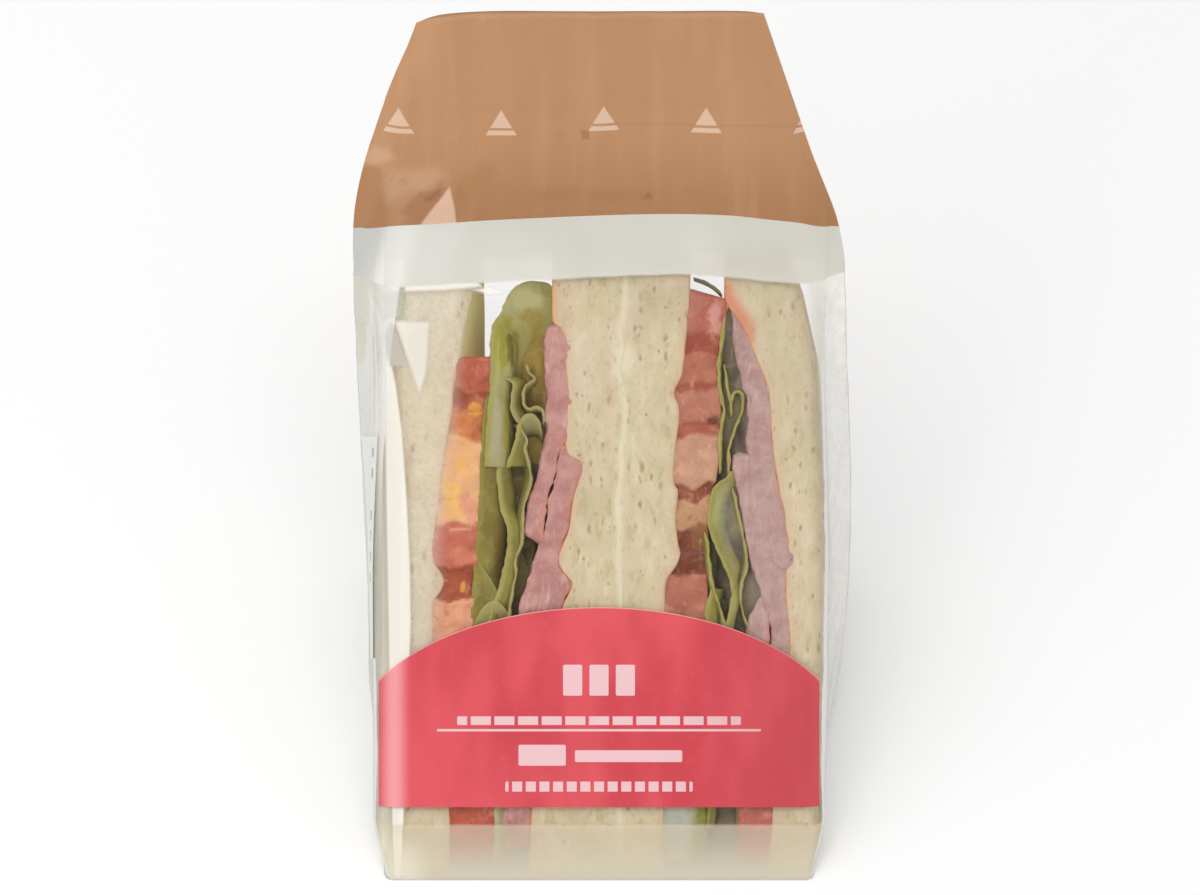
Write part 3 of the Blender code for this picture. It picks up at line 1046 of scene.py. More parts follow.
def add_spots(colour, across, up, spots):
    """The colour with soft-edged spots over it: (across, up, half width, half height, turn, colour)."""
    for x, y, wide, tall, turn, spot in spots:
        a, b = across - x, up - y
        c = (a * math.cos(turn) + b * math.sin(turn)) / wide
        d = (b * math.cos(turn) - a * math.sin(turn)) / tall
        wobble = noise.noise(Vector((across, up, x)) * 0.8) * 0.35
        share = 1.0 - ease(math.hypot(c, d) + wobble, 0.55, 1.1)
        colour = mix_colours(colour, spot, share)
    return colour


def blob(name, material, across, up, behind, size, turn=0.0):
    """A soft bead, such as a lump of gel or a seed, lying in the cut face."""
    bm = bmesh.new()
    bmesh.ops.create_icosphere(bm, subdivisions=3, radius=1.0)
    tilt = Matrix.Rotation(turn, 3, "Z")
    for vertex in bm.verts:
        dent = 1.0 + 0.22 * noise.noise(vertex.co * 1.4 + Vector((across, up, behind)))
        local = tilt @ Vector((vertex.co.x * size[0], vertex.co.y * size[1], 0.0)) * dent
        vertex.co = cut_point(across + local.x, up + local.y, behind + vertex.co.z * size[2] * dent)
    mesh = bpy.data.meshes.new(name)
    bm.to_mesh(mesh)
    bm.free()
    return add_object(name, mesh, material)


# Zones up the cut faces: top, depth and colour. The deeper zones are painted darker, partly as shade in
# their recesses
TOMATO_LEFT_ZONES = (
    (39, 0.3, (194, 90, 66)), (61.8, 0.3, (226, 160, 122)), (69, 1.7, (176, 84, 48)),
    (78.4, 0.1, (198, 108, 82)), (97.5, 0.4, (232, 176, 122)), (103.2, 0.9, (208, 126, 72)),
    (107.4, 1.2, (168, 78, 46)), (120, 0.2, (184, 92, 66)),
)
TOMATO_RIGHT_ZONES = (
    (68, 0.2, (178, 108, 86)), (76.4, 1.5, (124, 58, 32)), (83.8, 0.7, (194, 146, 108)),
    (87, 1.3, (150, 78, 54)), (98.4, 0.2, (198, 148, 120)), (100.8, 0.9, (172, 88, 64)),
    (108.2, 0.3, (186, 120, 98)), (109.6, 0.8, (172, 88, 66)), (116.2, 0.4, (182, 110, 84)),
    (119.8, 1, (164, 80, 60)), (134, 0.4, (182, 102, 86)),
)
# Spots: across, up, half width, half height, turn and colour; the thin pale streak at 77.4 up on the left
# is a painted glint
TOMATO_LEFT_SPOTS = (
    (-32.6, 85, 2.6, 5.6, 0.5, (240, 188, 104)), (-30.2, 91.4, 1.3, 3, 0.5, (240, 180, 100)),
    (-28.6, 82.4, 2.2, 4.6, 0.4, (226, 154, 124)), (-30, 71.4, 4, 2.4, 0, (208, 122, 88)),
    (-27.4, 103.8, 2, 1.7, 0, (226, 160, 56)), (-30.5, 77.4, 3.5, 0.4, 0.1, (224, 156, 128)),
)
TOMATO_RIGHT_SPOTS = (
    (25.1, 101.2, 1.7, 1.2, 0.5, (116, 62, 48)), (22, 76, 2.4, 3.6, 0, (142, 94, 50)),
    (21.8, 71.6, 3, 1.8, 0, (116, 62, 38)), (25.6, 124.5, 1.6, 5, 0, (206, 142, 130)),
)
TOMATO_LEFT_EDGE = [
    (4, -22.4), (36, -22.6), (42, -27.2), (62, -27.2), (70, -26.5), (78, -26.2), (88, -25.7),
    (98, -25.2), (103, -24.9), (105, -24.0), (108, -22.9), (116, -22.7),
]
TOMATO_RIGHT_EDGE = from_photo(
    [(729, 290), (725, 330), (722, 350), (721, 400), (723, 420), (720, 460), (713, 500),
     (708, 550), (708, 605), (708, 680), (696, 850)]
)
# Seeds in their gel: across, up, depth, size and turn
TOMATO_SEEDS = (
    (-33.8, 66.0, 2.4, (0.7, 1.3, 0.7), 0.3),
    (-29.9, 64.6, 2.3, (0.9, 1.5, 0.8), -0.2),
    (-31.6, 67.2, 2.6, (0.5, 0.9, 0.5), 0.1),
)
BREAD_OVERLAP = 0.8  # the tomato runs this far in under the bread
TOMATO_SHORT = 0.9


def tomato_slice(name, flesh, low, high, edge, outer, zones, spots, seed, **more):
    relief, paint = zoned(toned(zones), seed)
    spots = toned(spots)
    inner = through(edge)
    return slab(
        name, flesh, low, high, lambda up: inner(up) - BREAD_OVERLAP, through(outer),
        relief=relief, paint=lambda across, up: add_spots(paint(across, up), across, up, spots),
        short=TOMATO_SHORT, **more,
    )


def build_tomato():
    flesh = tomato_material()
    gel = gel_material()
    left_tomato = tomato_slice(
        "tomato_left", flesh, 4.4, 115.4, BREAD_1_RIGHT, TOMATO_LEFT_EDGE, TOMATO_LEFT_ZONES,
        TOMATO_LEFT_SPOTS, 3.0, front=CLEAR + 0.2, end=0.6,
    )
    roughen(left_tomato, lumps(2.2, 0.22, 1.0))
    blob("tomato_gel_1", gel, -27.3, 104.2, CLEAR + 1.3, (1.7, 1.3, 0.9))
    for number, (across, up, depth, size, turn) in enumerate(TOMATO_SEEDS, 1):
        blob("tomato_seed_%d" % number, gel, across, up, CLEAR + depth, size, turn)
    tomato_slice(
        "tomato_right", flesh, 30.0, 130.4, BREAD_3_RIGHT, TOMATO_RIGHT_EDGE, TOMATO_RIGHT_ZONES,
        TOMATO_RIGHT_SPOTS, 7.0, front=CLEAR + 0.15, bends=(0.5, 0.7), slant=(0.0, -2.2),
    )
    end_colour = tone(190, 104, 94)[:3]
    slab(
        "tomato_end", flesh, 4.6, 20.0, flat(30.6), flat(38.6), front=CLEAR + 0.1, end=0.6,
        steps=(16, 5, 8, 4), grain=0.55, short=TOMATO_SHORT, paint=lambda across, up: end_colour,
    )


# bacon

# The two slices on the left meet along this crack, which opens by these widths
CRACK = ((563, 444), (557, 466), (555, 474), (551, 490), (547, 501), (545, 512), (543, 534))
CRACK_WIDTH = (-1.0, -1.0, 1.0, 1.6, 0.2, 1.4, 0.6)
LEFT_BACON = ((200, 149, 140), (183, 127, 120), (221, 177, 164))
RIGHT_BACON = ((192, 158, 150), (178, 140, 134), (208, 178, 168))


def rasher(number, meat, left, right, near, bends=(1.1, 0.9), slant=(0.0, 0.0)):
    """A slice of bacon seen on its cut edge, from (column, row) places of its two sides."""
    left_side, right_side = from_photo(left), from_photo(right)
    low = max(min(left_side[0][0], right_side[0][0]), 4.0)
    high = max(left_side[-1][0], right_side[-1][0])
    made = slab(
        "bacon_%d" % number, meat, low, high, through(left_side), through(right_side),
        front=CLEAR + near, bends=bends, end=1.0, steps=(20, 4, 8, 4), slant=slant, short=0.6,
    )
    roughen(made, lumps(3.6, 0.55, number, 4))


def build_bacon():
    meat = bacon_material("bacon_left", *LEFT_BACON)
    pale_meat = bacon_material("bacon_right", *RIGHT_BACON)
    far_side = [(column + wide, row) for (column, row), wide in zip(CRACK, CRACK_WIDTH)]
    rasher(
        1, meat,
        [(547, 327), (543, 345), (545, 365), (545, 382), (546, 400), (545, 430), (541, 455), (536, 480),
         (528, 500), (524, 520), (525, 538)],
        [(569, 325), (571, 345), (568, 362), (571, 384), (573, 402), (572, 420), (570, 436), *CRACK],
        0.2, bends=(1.1, 0.35), slant=(-1.6, 0.0),
    )
    rasher(
        2, meat,
        [*far_side, (537, 548), (533, 564), (526, 584), (520, 604), (505, 760), (502, 850)],
        [(584, 450), (583, 472), (578, 487), (572, 506), (569, 530), (563, 546), (559, 560), (564, 573),
         (573, 584), (569, 594), (563, 606), (556, 640), (536, 760), (530, 850)],
        0.2, bends=(0.35, 0.9),
    )
    rasher(
        3, pale_meat,
        [(727, 301), (731, 318), (733, 338), (735, 356), (739, 374), (743, 388), (748, 420)],
        [(737, 301), (740, 312), (744, 322), (750, 334), (757, 350), (764, 370), (769, 392), (773, 420)],
        0.4,
    )
    rasher(
        4, pale_meat,
        [(751, 368), (749, 398), (747, 424), (747, 470)],
        [(765, 370), (770, 385), (773, 400), (775, 430), (776, 470)],
        0.3,
    )
    rasher(
        5, pale_meat,
        [(732, 454), (735, 480), (740, 510), (746, 540), (752, 566), (758, 586), (763, 600), (768, 614),
         (771, 640), (758, 740), (752, 790)],
        [(775, 453), (779, 480), (784, 505), (788, 530), (790, 550), (788, 575), (788, 602), (792, 640),
         (782, 740), (776, 790)],
        0.1, bends=(0.9, 0.7),
    )
    rasher(
        6, pale_meat,
        [(760, 596), (754, 606), (748, 624), (744, 660), (738, 740)],
        [(764, 597), (769, 612), (769, 640), (760, 700), (748, 740)],
        0.4, bends=(0.9, 0.4),
    )
    knob = blob("bacon_knob", pale_meat, 40.4, 71.6, CLEAR + 0.5, (2.5, 3.5, 0.9), 0.35)
    # Far enough from both edges to take no smoked rim
    keep_values(knob.data, "edges", [(4.0, 4.0, 0.0)] * len(knob.data.vertices))


# lettuce

# Leaf greens, light and dark; the darkest pair is painted shade, for the leaf set deep behind the others
GREEN = ((170, 158, 74), (144, 130, 54))
OLIVE = ((168, 152, 68), (144, 124, 52))
PALE = ((196, 186, 126), (180, 168, 104))
GOLD = ((178, 148, 62), (148, 120, 54))
PAINTED_SHADE = ((112, 98, 46), (86, 74, 37))
GREY = ((158, 142, 116), (122, 104, 88))
# The same for cut edges
RIM = (190, 180, 100)
PALE_RIM = (190, 178, 116)
BLADE_HALF = 0.18  # half the thickness of a leaf away from its cut edge, in millimetres
RIM_REACH = 1.3  # the cut edge's swelling fades out over this distance
RIM_DEPTH = 0.3  # how far behind the film a cut edge lies where its place doesn't say
RIM_STEPS = 5
LEAF_WAVES = 0.16  # how many waves, wrinkles and teeth a leaf has to the millimetre
LEAF_WRINKLES = 0.45
LEAF_TEETH = 0.9
WAVE_HEIGHT = 2.2  # their heights in millimetres, the first two for a ruffle of 1
WRINKLE_HEIGHT = 0.45
TOOTH_HEIGHT = 0.22
RIB_CROWDING = 1.5  # crowds a leaf's columns towards its cut edge


def at_photo(column, row, wide, tall, turn, colour):
    """A spot in millimetres, from its place and half sizes in the photograph."""
    return (*in_mm(column, row), wide * PIXEL / MM, tall * PIXEL / MM, turn, colour)


def spline(points, shares):
    """Places along a smooth line through the points, at these shares of its length."""
    spans = [(b - a).length for a, b in zip(points, points[1:])]
    places = [sum(spans[:i]) for i in range(len(points))]
    curves = [through([(s, p[axis]) for s, p in zip(places, points)]) for axis in range(3)]
    return [Vector([curve(places[-1] * share) for curve in curves]) for share in shares]


def steps_of(count, power=1.0):
    """Shares from 0 to 1, crowded towards 0 where the power is above 1."""
    return [(i / (count - 1)) ** power for i in range(count)]


def leaf_grid(rim, blade, seed, ruffle, spread, columns):
    """Rows of (across, up, behind) places: from the cut edge, back over the leaf."""

    def bumps(place, *shift):
        return noise.noise(place + Vector(shift))

    edge = []
    for column, row, *depth in rim:
        edge.append(Vector((*in_mm(column, row), CLEAR + (depth[0] if depth else RIM_DEPTH))))
    length = sum((b - a).length for a, b in zip(edge, edge[1:]))
    rows = max(int(length / LEAF_GRAIN), 10)
    shares = steps_of(columns, RIB_CROWDING)
    grid = []
    for along, start in zip(steps_of(rows), spline(edge, steps_of(rows))):
        reach = spread(along)
        ribs = [start] + [start + Vector(offset) * reach for offset in blade]
        cells = []
        for share, place in zip(shares, spline(ribs, shares)):
            slow = place * LEAF_WAVES
            side_wave, up_wave = bumps(slow, seed, 0.0, 0.0), bumps(slow, 0.0, seed, 5.0) * 0.4
            wave = Vector((side_wave, up_wave, bumps(slow, 9.0, 0.0, seed)))
            fine = bumps(place * LEAF_WRINKLES, seed, 3.0, 1.0) * ease(share, 0.0, 0.2)
            tooth = bumps(place * LEAF_TEETH, seed, 1.0, 4.0) * (1.0 - ease(share, 0.0, 0.3))
            moved = place + wave * ruffle * ease(share, 0.0, 0.35) * WAVE_HEIGHT
            moved.x += fine * ruffle * WRINKLE_HEIGHT + tooth * TOOTH_HEIGHT
            moved.z = min(max(moved.z, CLEAR), max(wedge_back(moved.y), CLEAR))
            cells.append(moved)
        grid.append(cells)
    return grid


def make_leaf(
    material, name, colours, seed, rim, blade, edge=0.25, rim_colour=RIM, spots=(), ruffle=0.2,
    spread=flat(1.0), columns=14,
):
    """A leaf: its cut edge, soft and rounded, runs along (column, row) or (column, row, behind)
    places, and its blade runs back from there through (across, up, behind) offsets. Spots are
    (column, row, half width, half height, turn, colour)."""
    grid = leaf_grid(rim, blade, seed, ruffle, spread, columns)
    rows = len(grid)
    light, dark, rim_colour = (tone(*colour) for colour in (*colours, rim_colour))
    spots = [at_photo(*spot) for spot in toned(spots)]
    vertices, edges, tints = [], [], []
    for row, cells in enumerate(grid):
        before, after = grid[max(row - 1, 0)], grid[min(row + 1, rows - 1)]
        end = min(row, rows - 1 - row) / rows
        swell = edge * (0.86 + 0.7 * noise.noise(cells[0] * 0.45)) * mix(0.4, 1.0, ease(end, 0.0, 0.04))
        over, under, shown, gone = [], [], [], 0.0
        for column, place in enumerate(cells):
            left, right = cells[max(column - 1, 0)], cells[min(column + 1, columns - 1)]
            normal = (after[column] - before[column]).cross(right - left)
            normal = normal.normalized() if normal.length > 1e-6 else Vector((0.0, 0.0, 1.0))
            gone += (place - left).length
            half = mix(swell, BLADE_HALF, ease(gone, swell * 0.5, RIM_REACH))
            over.append(place + normal * half)
            under.append(place - normal * half)
            shade = ease(noise.noise(place * 0.13 + Vector((seed, 0.0, 2.0))), -0.35, 0.35)
            colour = add_spots(mix_colours(light, dark, shade), place.x, place.y, spots)
            shown.append(mix_colours(rim_colour, colour, ease(gone, 0.25, RIM_REACH)))
        out = (cells[0] - cells[1]).normalized()
        side = over[0] - cells[0]
        cap = []
        for step in range(1, RIM_STEPS):
            angle = math.pi * step / RIM_STEPS
            cap.append(cells[0] - side * math.cos(angle) + out * side.length * math.sin(angle))
        ring = over + under[::-1] + cap
        vertices += [cut_point(*place) for place in ring]
        edges += [(row / rows, 0.0, place.z - CLEAR) for place in ring]
        tints += shown + shown[::-1] + [shown[0]] * len(cap)
    count = len(vertices) // rows
    faces = ring_faces(rows, count)
    for start in (0, count * (rows - 1)):
        for i in range(columns - 1):
            a, b = start + i, start + 2 * columns - 1 - i
            faces.append((a, a + 1, b - 1, b))
        faces.append((start, *range(start + 2 * columns - 1, start + count)))
    return add_piece("lettuce_" + name, vertices, faces, material, edges=edges, tint=tints)


def build_left_leaves(leaf):
    """A broad leaf at the top, curls beside it, and long leaves with thick edges below."""
    leaf(
        "left_1", PALE, 1,
        [(556, 290, 2), (548, 284, 1.6), (536, 282, 1.3), (524, 283, 1.1), (513, 289, 1),
         (506, 300, 0.9), (501, 312, 0.9), (497, 322, 1)],
        [(0.2, -2.5, 0.2), (0.8, -6, 0.8), (1.6, -11, 2), (2.2, -17, 4), (2.6, -24, 7)],
        rim_colour=PALE[0], ruffle=0.35, columns=30,
        spots=(
            (526, 300, 20, 14, 0, (202, 196, 140)), (532, 322, 14, 18, 0, (176, 156, 74)),
            (538, 362, 16, 34, 0, (166, 134, 46)), (506, 330, 9, 20, 0.1, (172, 166, 60)),
            (514, 346, 6, 18, 0, (150, 134, 44)), (523, 352, 5, 18, 0, (182, 168, 96)),
        ),
    )
    leaf(
        "left_0", PALE, 30,
        [(510, 304, 4), (503, 311, 2.4), (497, 319, 1.3), (493, 328, 0.7), (491, 345, 0.5),
         (491, 372, 0.4), (489, 405), (487, 435, 0.2), (485, 467, 0.2)],
        [(1.6, 0, 0), (3.2, -0.1, 0.3), (4.6, -0.2, 1.2), (5.6, -0.3, 3.6), (6, -0.4, 8)],
        edge=0.3, rim_colour=(186, 178, 92), ruffle=0.3, columns=24,
        spread=lambda along: mix(0.15, 1.0, ease(along, 0.04, 0.34)),
        spots=(
            (500, 342, 8, 36, 0, (176, 168, 60)), (510, 350, 4, 30, 0.1, (142, 130, 42)),
            (498, 360, 2, 30, 0, (200, 192, 112)), (495, 428, 8, 42, 0, (196, 190, 148)),
            (507, 425, 4, 40, 0, (176, 163, 62)),
        ),
    )
    leaf(
        "left_2", OLIVE, 2,
        [(489, 388, 1.2), (486, 402, 1), (484, 418, 0.8), (482, 440, 0.6), (480.5, 480, 0.6),
         (478.5, 520, 0.6), (475, 560, 0.7), (472, 600, 0.8), (470, 640, 1), (462, 740, 1.4),
         (458, 830, 1.8)],
        [(2.2, 0.1, 0.2), (4.4, 0.2, 0.9), (6.2, 0.3, 2.8), (7.2, 0.3, 8)],
        rim_colour=OLIVE[0], ruffle=0.4, columns=18,
        # the brown spot low on the leaf's right is painted shade
        spots=((497, 552, 7, 42, 0, (148, 120, 50)), (499, 498, 5, 32, 0, (150, 134, 56))),
    )
    leaf(
        "left_3", GREEN, 3,
        [(497, 466, 0.8), (498, 480, 0.6), (500, 495, 0.5), (501, 508, 0.4), (505, 519, 0.4), (508, 530),
         (509, 543), (507, 555), (504, 569), (501, 583), (497, 597, 0.4), (492, 610, 0.5),
         (484, 650, 0.8), (476, 740, 1.2), (470, 830, 1.6)],
        [(1.2, 0, 0.4), (2.4, 0, 1.2), (3, 0, 3.6), (2.6, 0, 8)],
        edge=0.36, ruffle=0.25, columns=18,
    )
    leaf(
        "left_4", GREEN, 4,
        [(518, 423), (517, 434), (514, 446, 0.4), (510, 457, 0.5), (507, 468, 0.8)],
        [(1.2, 0.3, 0.4), (2.6, 0.4, 0.8), (4.6, 0.3, 1.6)],
        edge=0.34, columns=12, spread=lambda along: 0.25 + 0.75 * along,
    )
    leaf(
        "left_5", GREEN, 5,
        [(519, 425), (523, 433), (527, 441), (525, 447, 0.4), (527, 458, 0.5), (530, 469, 0.5),
         (531, 480, 0.5), (528, 493, 0.4), (524, 506), (523, 520), (523, 533), (522, 545), (516, 558),
         (516, 574), (513, 590, 0.4), (510, 610, 0.5), (506, 660, 0.8), (500, 740, 1.2), (494, 830, 1.6)],
        [(-0.6, 0.1, 1.6), (-1.2, 0.2, 4), (-1.6, 0.3, 8)],
        edge=0.38, rim_colour=PALE_RIM, ruffle=0.25,
    )
    leaf(
        "left_6", GREEN, 6,
        [(498, 377, 0.9), (506, 379, 0.6), (513, 384, 0.4), (512, 396), (511, 407), (514, 415),
         (518, 423)],
        [(1.2, 0.2, 0.8), (2.2, 0.3, 2.2), (3, 0.3, 5)],
        edge=0.32, rim_colour=PALE_RIM,
    )
    leaf(
        "left_7", GREEN, 7,
        [(526, 364, 1), (529, 372, 0.7), (535, 379, 0.6), (531, 382, 0.5), (525, 387, 0.4), (523, 397),
         (524, 405), (529, 409), (535, 407), (541, 409, 0.4), (544, 416, 0.6), (543, 423, 1)],
        [(0.2, -0.7, 1), (0.5, -1.2, 2.6), (1, -1.4, 5.5)],
        edge=0.42, rim_colour=PALE_RIM, ruffle=0.15,
    )
    leaf(
        "left_8", PALE, 8,
        [(518, 428, 0.8), (521, 420, 0.5), (526, 416, 0.4), (532, 415, 0.4), (537, 418, 0.5),
         (541, 424, 0.7)],
        [(0.1, -1.2, 0.3), (0.3, -2.6, 1.2), (0.6, -4.2, 3.4), (1, -5.5, 7)],
        edge=0.4, rim_colour=PALE_RIM,
        # the dark spot below the curl is painted shade
        spots=((532, 446, 14, 16, 0, (104, 86, 42)), (530, 425, 9, 8, 0, (164, 162, 104))),
    )
    leaf(
        "left_9", GOLD, 9,
        [(549, 300, 3.6), (547, 340, 3.2), (546, 380, 3), (546, 420, 4), (541, 465, 5)],
        [(-2.4, 0, 0.4), (-5, 0, 1.4), (-8, 0, 4)],
        rim_colour=GOLD[0], ruffle=0.7, columns=18,
    )
    leaf(
        "left_11", OLIVE, 11,
        [(476, 557, 0.5), (483, 567, 0.5), (490, 579, 0.5), (497, 591, 0.5)],
        [(0.1, -2.4, 0.15), (0, -5, 0.3), (-0.3, -9, 0.8), (-1, -16, 1.6)],
        edge=0.3, rim_colour=(164, 160, 90), columns=16,
    )
    leaf(
        "left_12", PALE, 12,
        [(498, 601), (491, 602), (484, 608), (478, 618), (473, 632, 0.4), (462, 690, 0.8)],
        [(0.8, -1, 0.2), (1.8, -2.4, 0.6), (2.6, -5, 2)],
        edge=0.3, columns=12,
    )
    leaf(
        "left_14", PALE, 31,
        [(494, 780, 0.4), (495, 812), (495, 836), (494, 862, 0.4)],
        [(1, 0, 0), (2, 0, 0.2), (2.8, 0, 1.6)],
        rim_colour=(206, 204, 170), columns=10,
    )
    # a leaf deep behind the others, in painted shade colours
    leaf(
        "left_13", PAINTED_SHADE, 13,
        [(545, 430, 5), (538, 500, 5), (532, 560, 5), (526, 620, 5), (510, 760, 5), (505, 840, 3)],
        [(-4, 0, 1.5), (-8, 0, 3), (-13, 0, 5)],
        rim_colour=PAINTED_SHADE[0], ruffle=1.0, columns=18,
    )


def build_right_leaves(leaf):
    """Two thick edges at the top, a curl, a wide fold below it, and a stem at the very top."""
    leaf(
        "right_1", GREEN, 21,
        [(728, 297, 1.2), (727, 307, 1), (725, 318, 0.8), (723, 332, 0.5), (721, 346, 0.4), (719, 362),
         (719, 376), (720, 390), (723, 404), (724, 412), (722, 424), (720, 438), (720, 456, 0.4),
         (720, 474, 0.8)],
        [(0.5, 0.1, 1.6), (1.2, 0.3, 4), (1.2, 0.5, 8)],
        edge=0.42, ruffle=0.25,
    )
    leaf(
        "right_2", GREEN, 22,
        [(724, 364, 1.2), (726, 378, 0.8), (728, 392, 0.5), (731, 404, 0.4)],
        [(0.4, 0.1, 1.6), (0.8, 0.2, 4)],
        edge=0.34, columns=10,
    )
    leaf(
        "right_3", GREEN, 23,
        [(732, 416, 0.5), (731, 404), (733, 395), (738, 391), (742, 394), (743, 402), (742, 411),
         (739, 419), (736, 426), (732, 439), (729, 450), (729, 462), (729, 473, 0.4)],
        [(-0.3, -0.5, 1.4), (-0.1, -0.8, 3.4), (0.2, -1, 7)],
        edge=0.4, ruffle=0.15,
    )
    leaf(
        "right_4", PALE, 24,
        [(730, 471, 0.5), (727, 478), (720, 482), (714, 490), (711, 500), (709, 515), (710, 530),
         (716, 545), (722, 559), (728, 573), (732, 586), (732, 601), (729, 616), (724, 640, 0.5),
         (716, 730, 1), (708, 830, 1.6)],
        [(1.3, 0, 0.7), (2.8, 0.1, 1.4), (4.4, 0.1, 2.4), (6, 0.2, 4), (6.6, 0.3, 8)],
        edge=0.38, columns=24, spread=lambda along: mix(1.0, 0.25, ease(along, 0.22, 0.34)),
        spots=((728, 520, 8, 34, 0, (160, 156, 134)), (715, 505, 4, 22, 0, (196, 198, 128))),
    )
    leaf(
        "right_5", GREEN, 25,
        [(733, 488, 1), (737, 505, 0.6), (741, 525, 0.5), (745, 545, 0.4), (747, 558, 0.4),
         (746, 571, 0.4), (742, 585, 0.4), (741, 600, 0.4), (744, 615, 0.4), (749, 632, 0.5),
         (744, 700, 0.9), (738, 830, 1.4)],
        [(-0.4, 0.1, 0.9), (-0.9, 0.2, 2.4), (-1.2, 0.3, 5)],
        edge=0.34, rim_colour=PALE_RIM,
    )
    leaf(
        "right_6", GREEN, 26,
        [(705, 532, 0.8), (708, 544, 0.4), (709, 560), (711, 575), (714, 590), (719, 605), (724, 622),
         (724, 660, 0.6), (716, 740, 1), (708, 830, 1.4)],
        [(-0.6, 0.1, 1), (-1.4, 0.2, 2.6), (-2, 0.4, 6)],
        edge=0.36,
    )
    leaf(
        "right_7", GREEN, 27,
        [(712, 588, 0.9), (708, 600, 0.6), (706, 612, 0.5), (706, 630, 0.5), (702, 700, 0.9)],
        [(1, -0.1, 0.3), (2.2, -0.2, 0.8), (3, -0.3, 2.5)],
        edge=0.3, columns=12,
    )
    leaf(
        "right_8", GREY, 28,
        [(732, 298, 1.8), (736, 318, 1.8), (742, 350, 1.8), (748, 390, 1.8), (750, 430, 2),
         (750, 470, 2), (758, 560, 1.6), (768, 640, 1.8), (750, 760, 2), (744, 840, 2.4)],
        [(-2.4, 0, 0.3), (-5.5, 0, 1.2), (-9, 0, 3)],
        rim_colour=GREY[0], ruffle=0.6, columns=18,
        spots=(
            (734, 378, 5, 14, -0.2, (110, 98, 72)), (742, 438, 6, 14, 0, (112, 90, 82)),
            (752, 592, 10, 20, 0, (160, 142, 120)), (720, 575, 9, 24, 0, (112, 100, 76)),
        ),
    )
    leaf(
        "right_9", PALE, 32,
        [(663, 790, 0.6), (665, 812, 0.4), (664, 836, 0.4), (663, 862, 0.5)],
        [(2.2, 0, 0), (4.6, 0, 0.1), (6.8, 0, 0.3), (9.4, 0, 1.8)],
        rim_colour=(206, 204, 178), ruffle=0.3, columns=18,
        spots=((678, 830, 18, 60, 0, (214, 214, 198)), (704, 812, 9, 16, 0, (168, 172, 62))),
    )
    leaf(
        "stem", GREEN, 29,
        [(694, 277, 3.6), (704, 281, 3.2), (713, 286, 3), (722, 294, 3)],
        [(0.1, -0.3, 0.8), (0.2, -0.6, 1.6)],
        edge=0.3, rim_colour=(150, 150, 108), ruffle=0.1, columns=6,
    )


# Packed leaves behind, their colours darkened as painted shade: name, left and right edges, top, colour
# and seed
PACKED = (
    ("lettuce_inside_left", [(3, -23.5), (60, -27.5), (112, -25.0)],
     [(3, -18.0), (60, -14.0), (76, -13.0), (112, -11.5)], 112.0, (132, 118, 56), 3.0),
    ("lettuce_inside_right", [(3, 20.0), (60, 22.5), (122, 26.0)],
     [(3, 34.5), (60, 36.0), (100, 34.0), (122, 31.0)], 122.0, (128, 112, 76), 4.0),
)


def build_packed_leaves(material):
    for name, left, right, high, colour, seed in PACKED:
        shade = tone(*colour)[:3]
        mass = slab(
            name, material, 13.0, high, through(left), through(right), front=6.0,
            bends=(2.0, 2.0), end=3.0, steps=(14, 4, 10, 6), grain=1.2,
            paint=lambda across, up: shade,
        )
        roughen(mass, lumps(5.0, 1.6, seed))


def build_lettuce():
    """Leaves with their cut edges to the front, over a packed mass behind them painted dark as shade."""
    material = leaf_material()
    leaf = functools.partial(make_leaf, material)
    build_left_leaves(leaf)
    build_right_leaves(leaf)
    build_packed_leaves(material)


# film

BAND_LOW = through(
    [(-0.05, 0.0925), (-0.03, 0.0934), (-0.01, 0.0941), (0.02, 0.0948), (0.042, 0.0934), (0.052, 0.093)]
)
PRINT_EDGE = through(
    [(-0.0545, 0.1017), (-0.047, 0.1034), (-0.036, 0.1041), (-0.022, 0.105), (0, 0.1056),
     (0.028, 0.1059), (0.04, 0.1049), (0.046, 0.1042), (0.0535, 0.1023)]
)
FOOT_BAND = 0.0087  # the white band at the foot reaches this height
BAND_COVER = 0.955  # how much the band under the header hides
FOOT_COVER = (0.84, 0.47)  # the same for the foot's band, at its foot and at its top
FILM_FOOT = 0.0003  # how much the film's own foot is rounded
FOOT_TAPER = 0.024
TAPER_REACH = 0.009
PRINT_LEVEL = LEG * 1.04  # about where the print starts
WRINKLES_FROM = 0.006  # the film is smooth at its foot and wrinkled from this height
WRINKLES_TO = 0.93  # and smooths out from this share of its height up to the print
NECK_HEIGHT = LEG * 0.955  # the film is gathered about here, under the header
NECK_REACH = LEG * 0.09
GATHERS = 0.35  # how deep the gathers are, in millimetres, like the other depths below
SLOW_WAVES = 0.16
SIDE_RIDGES = 0.14
SIDE_CRINKLES = 0.05
HEADER_WAVES = 0.80
HEADER_BENDS = 0.30
BACK_BENDS = 0.25
FOLD = (0.1275, 0.1285)  # the header's folded top edge steps out between these heights
FOLD_STEP = 0.12
CRUSHED_PLACE = (-0.036, 0.112)  # the crushed corner: across and height
CRUSHED_REACH = (0.020, 0.014)
CRUSHED_RIDGES = 0.35
SIDE_BASE = 0.6  # how much of the base looks like a side panel
QUARTER = FRONT_STEPS + CORNER_STEPS + SIDE_STEPS  # columns from the front's middle to a seam
COLUMNS = 4 * QUARTER
OUTLINES = {}  # the outlines worked out so far, by height
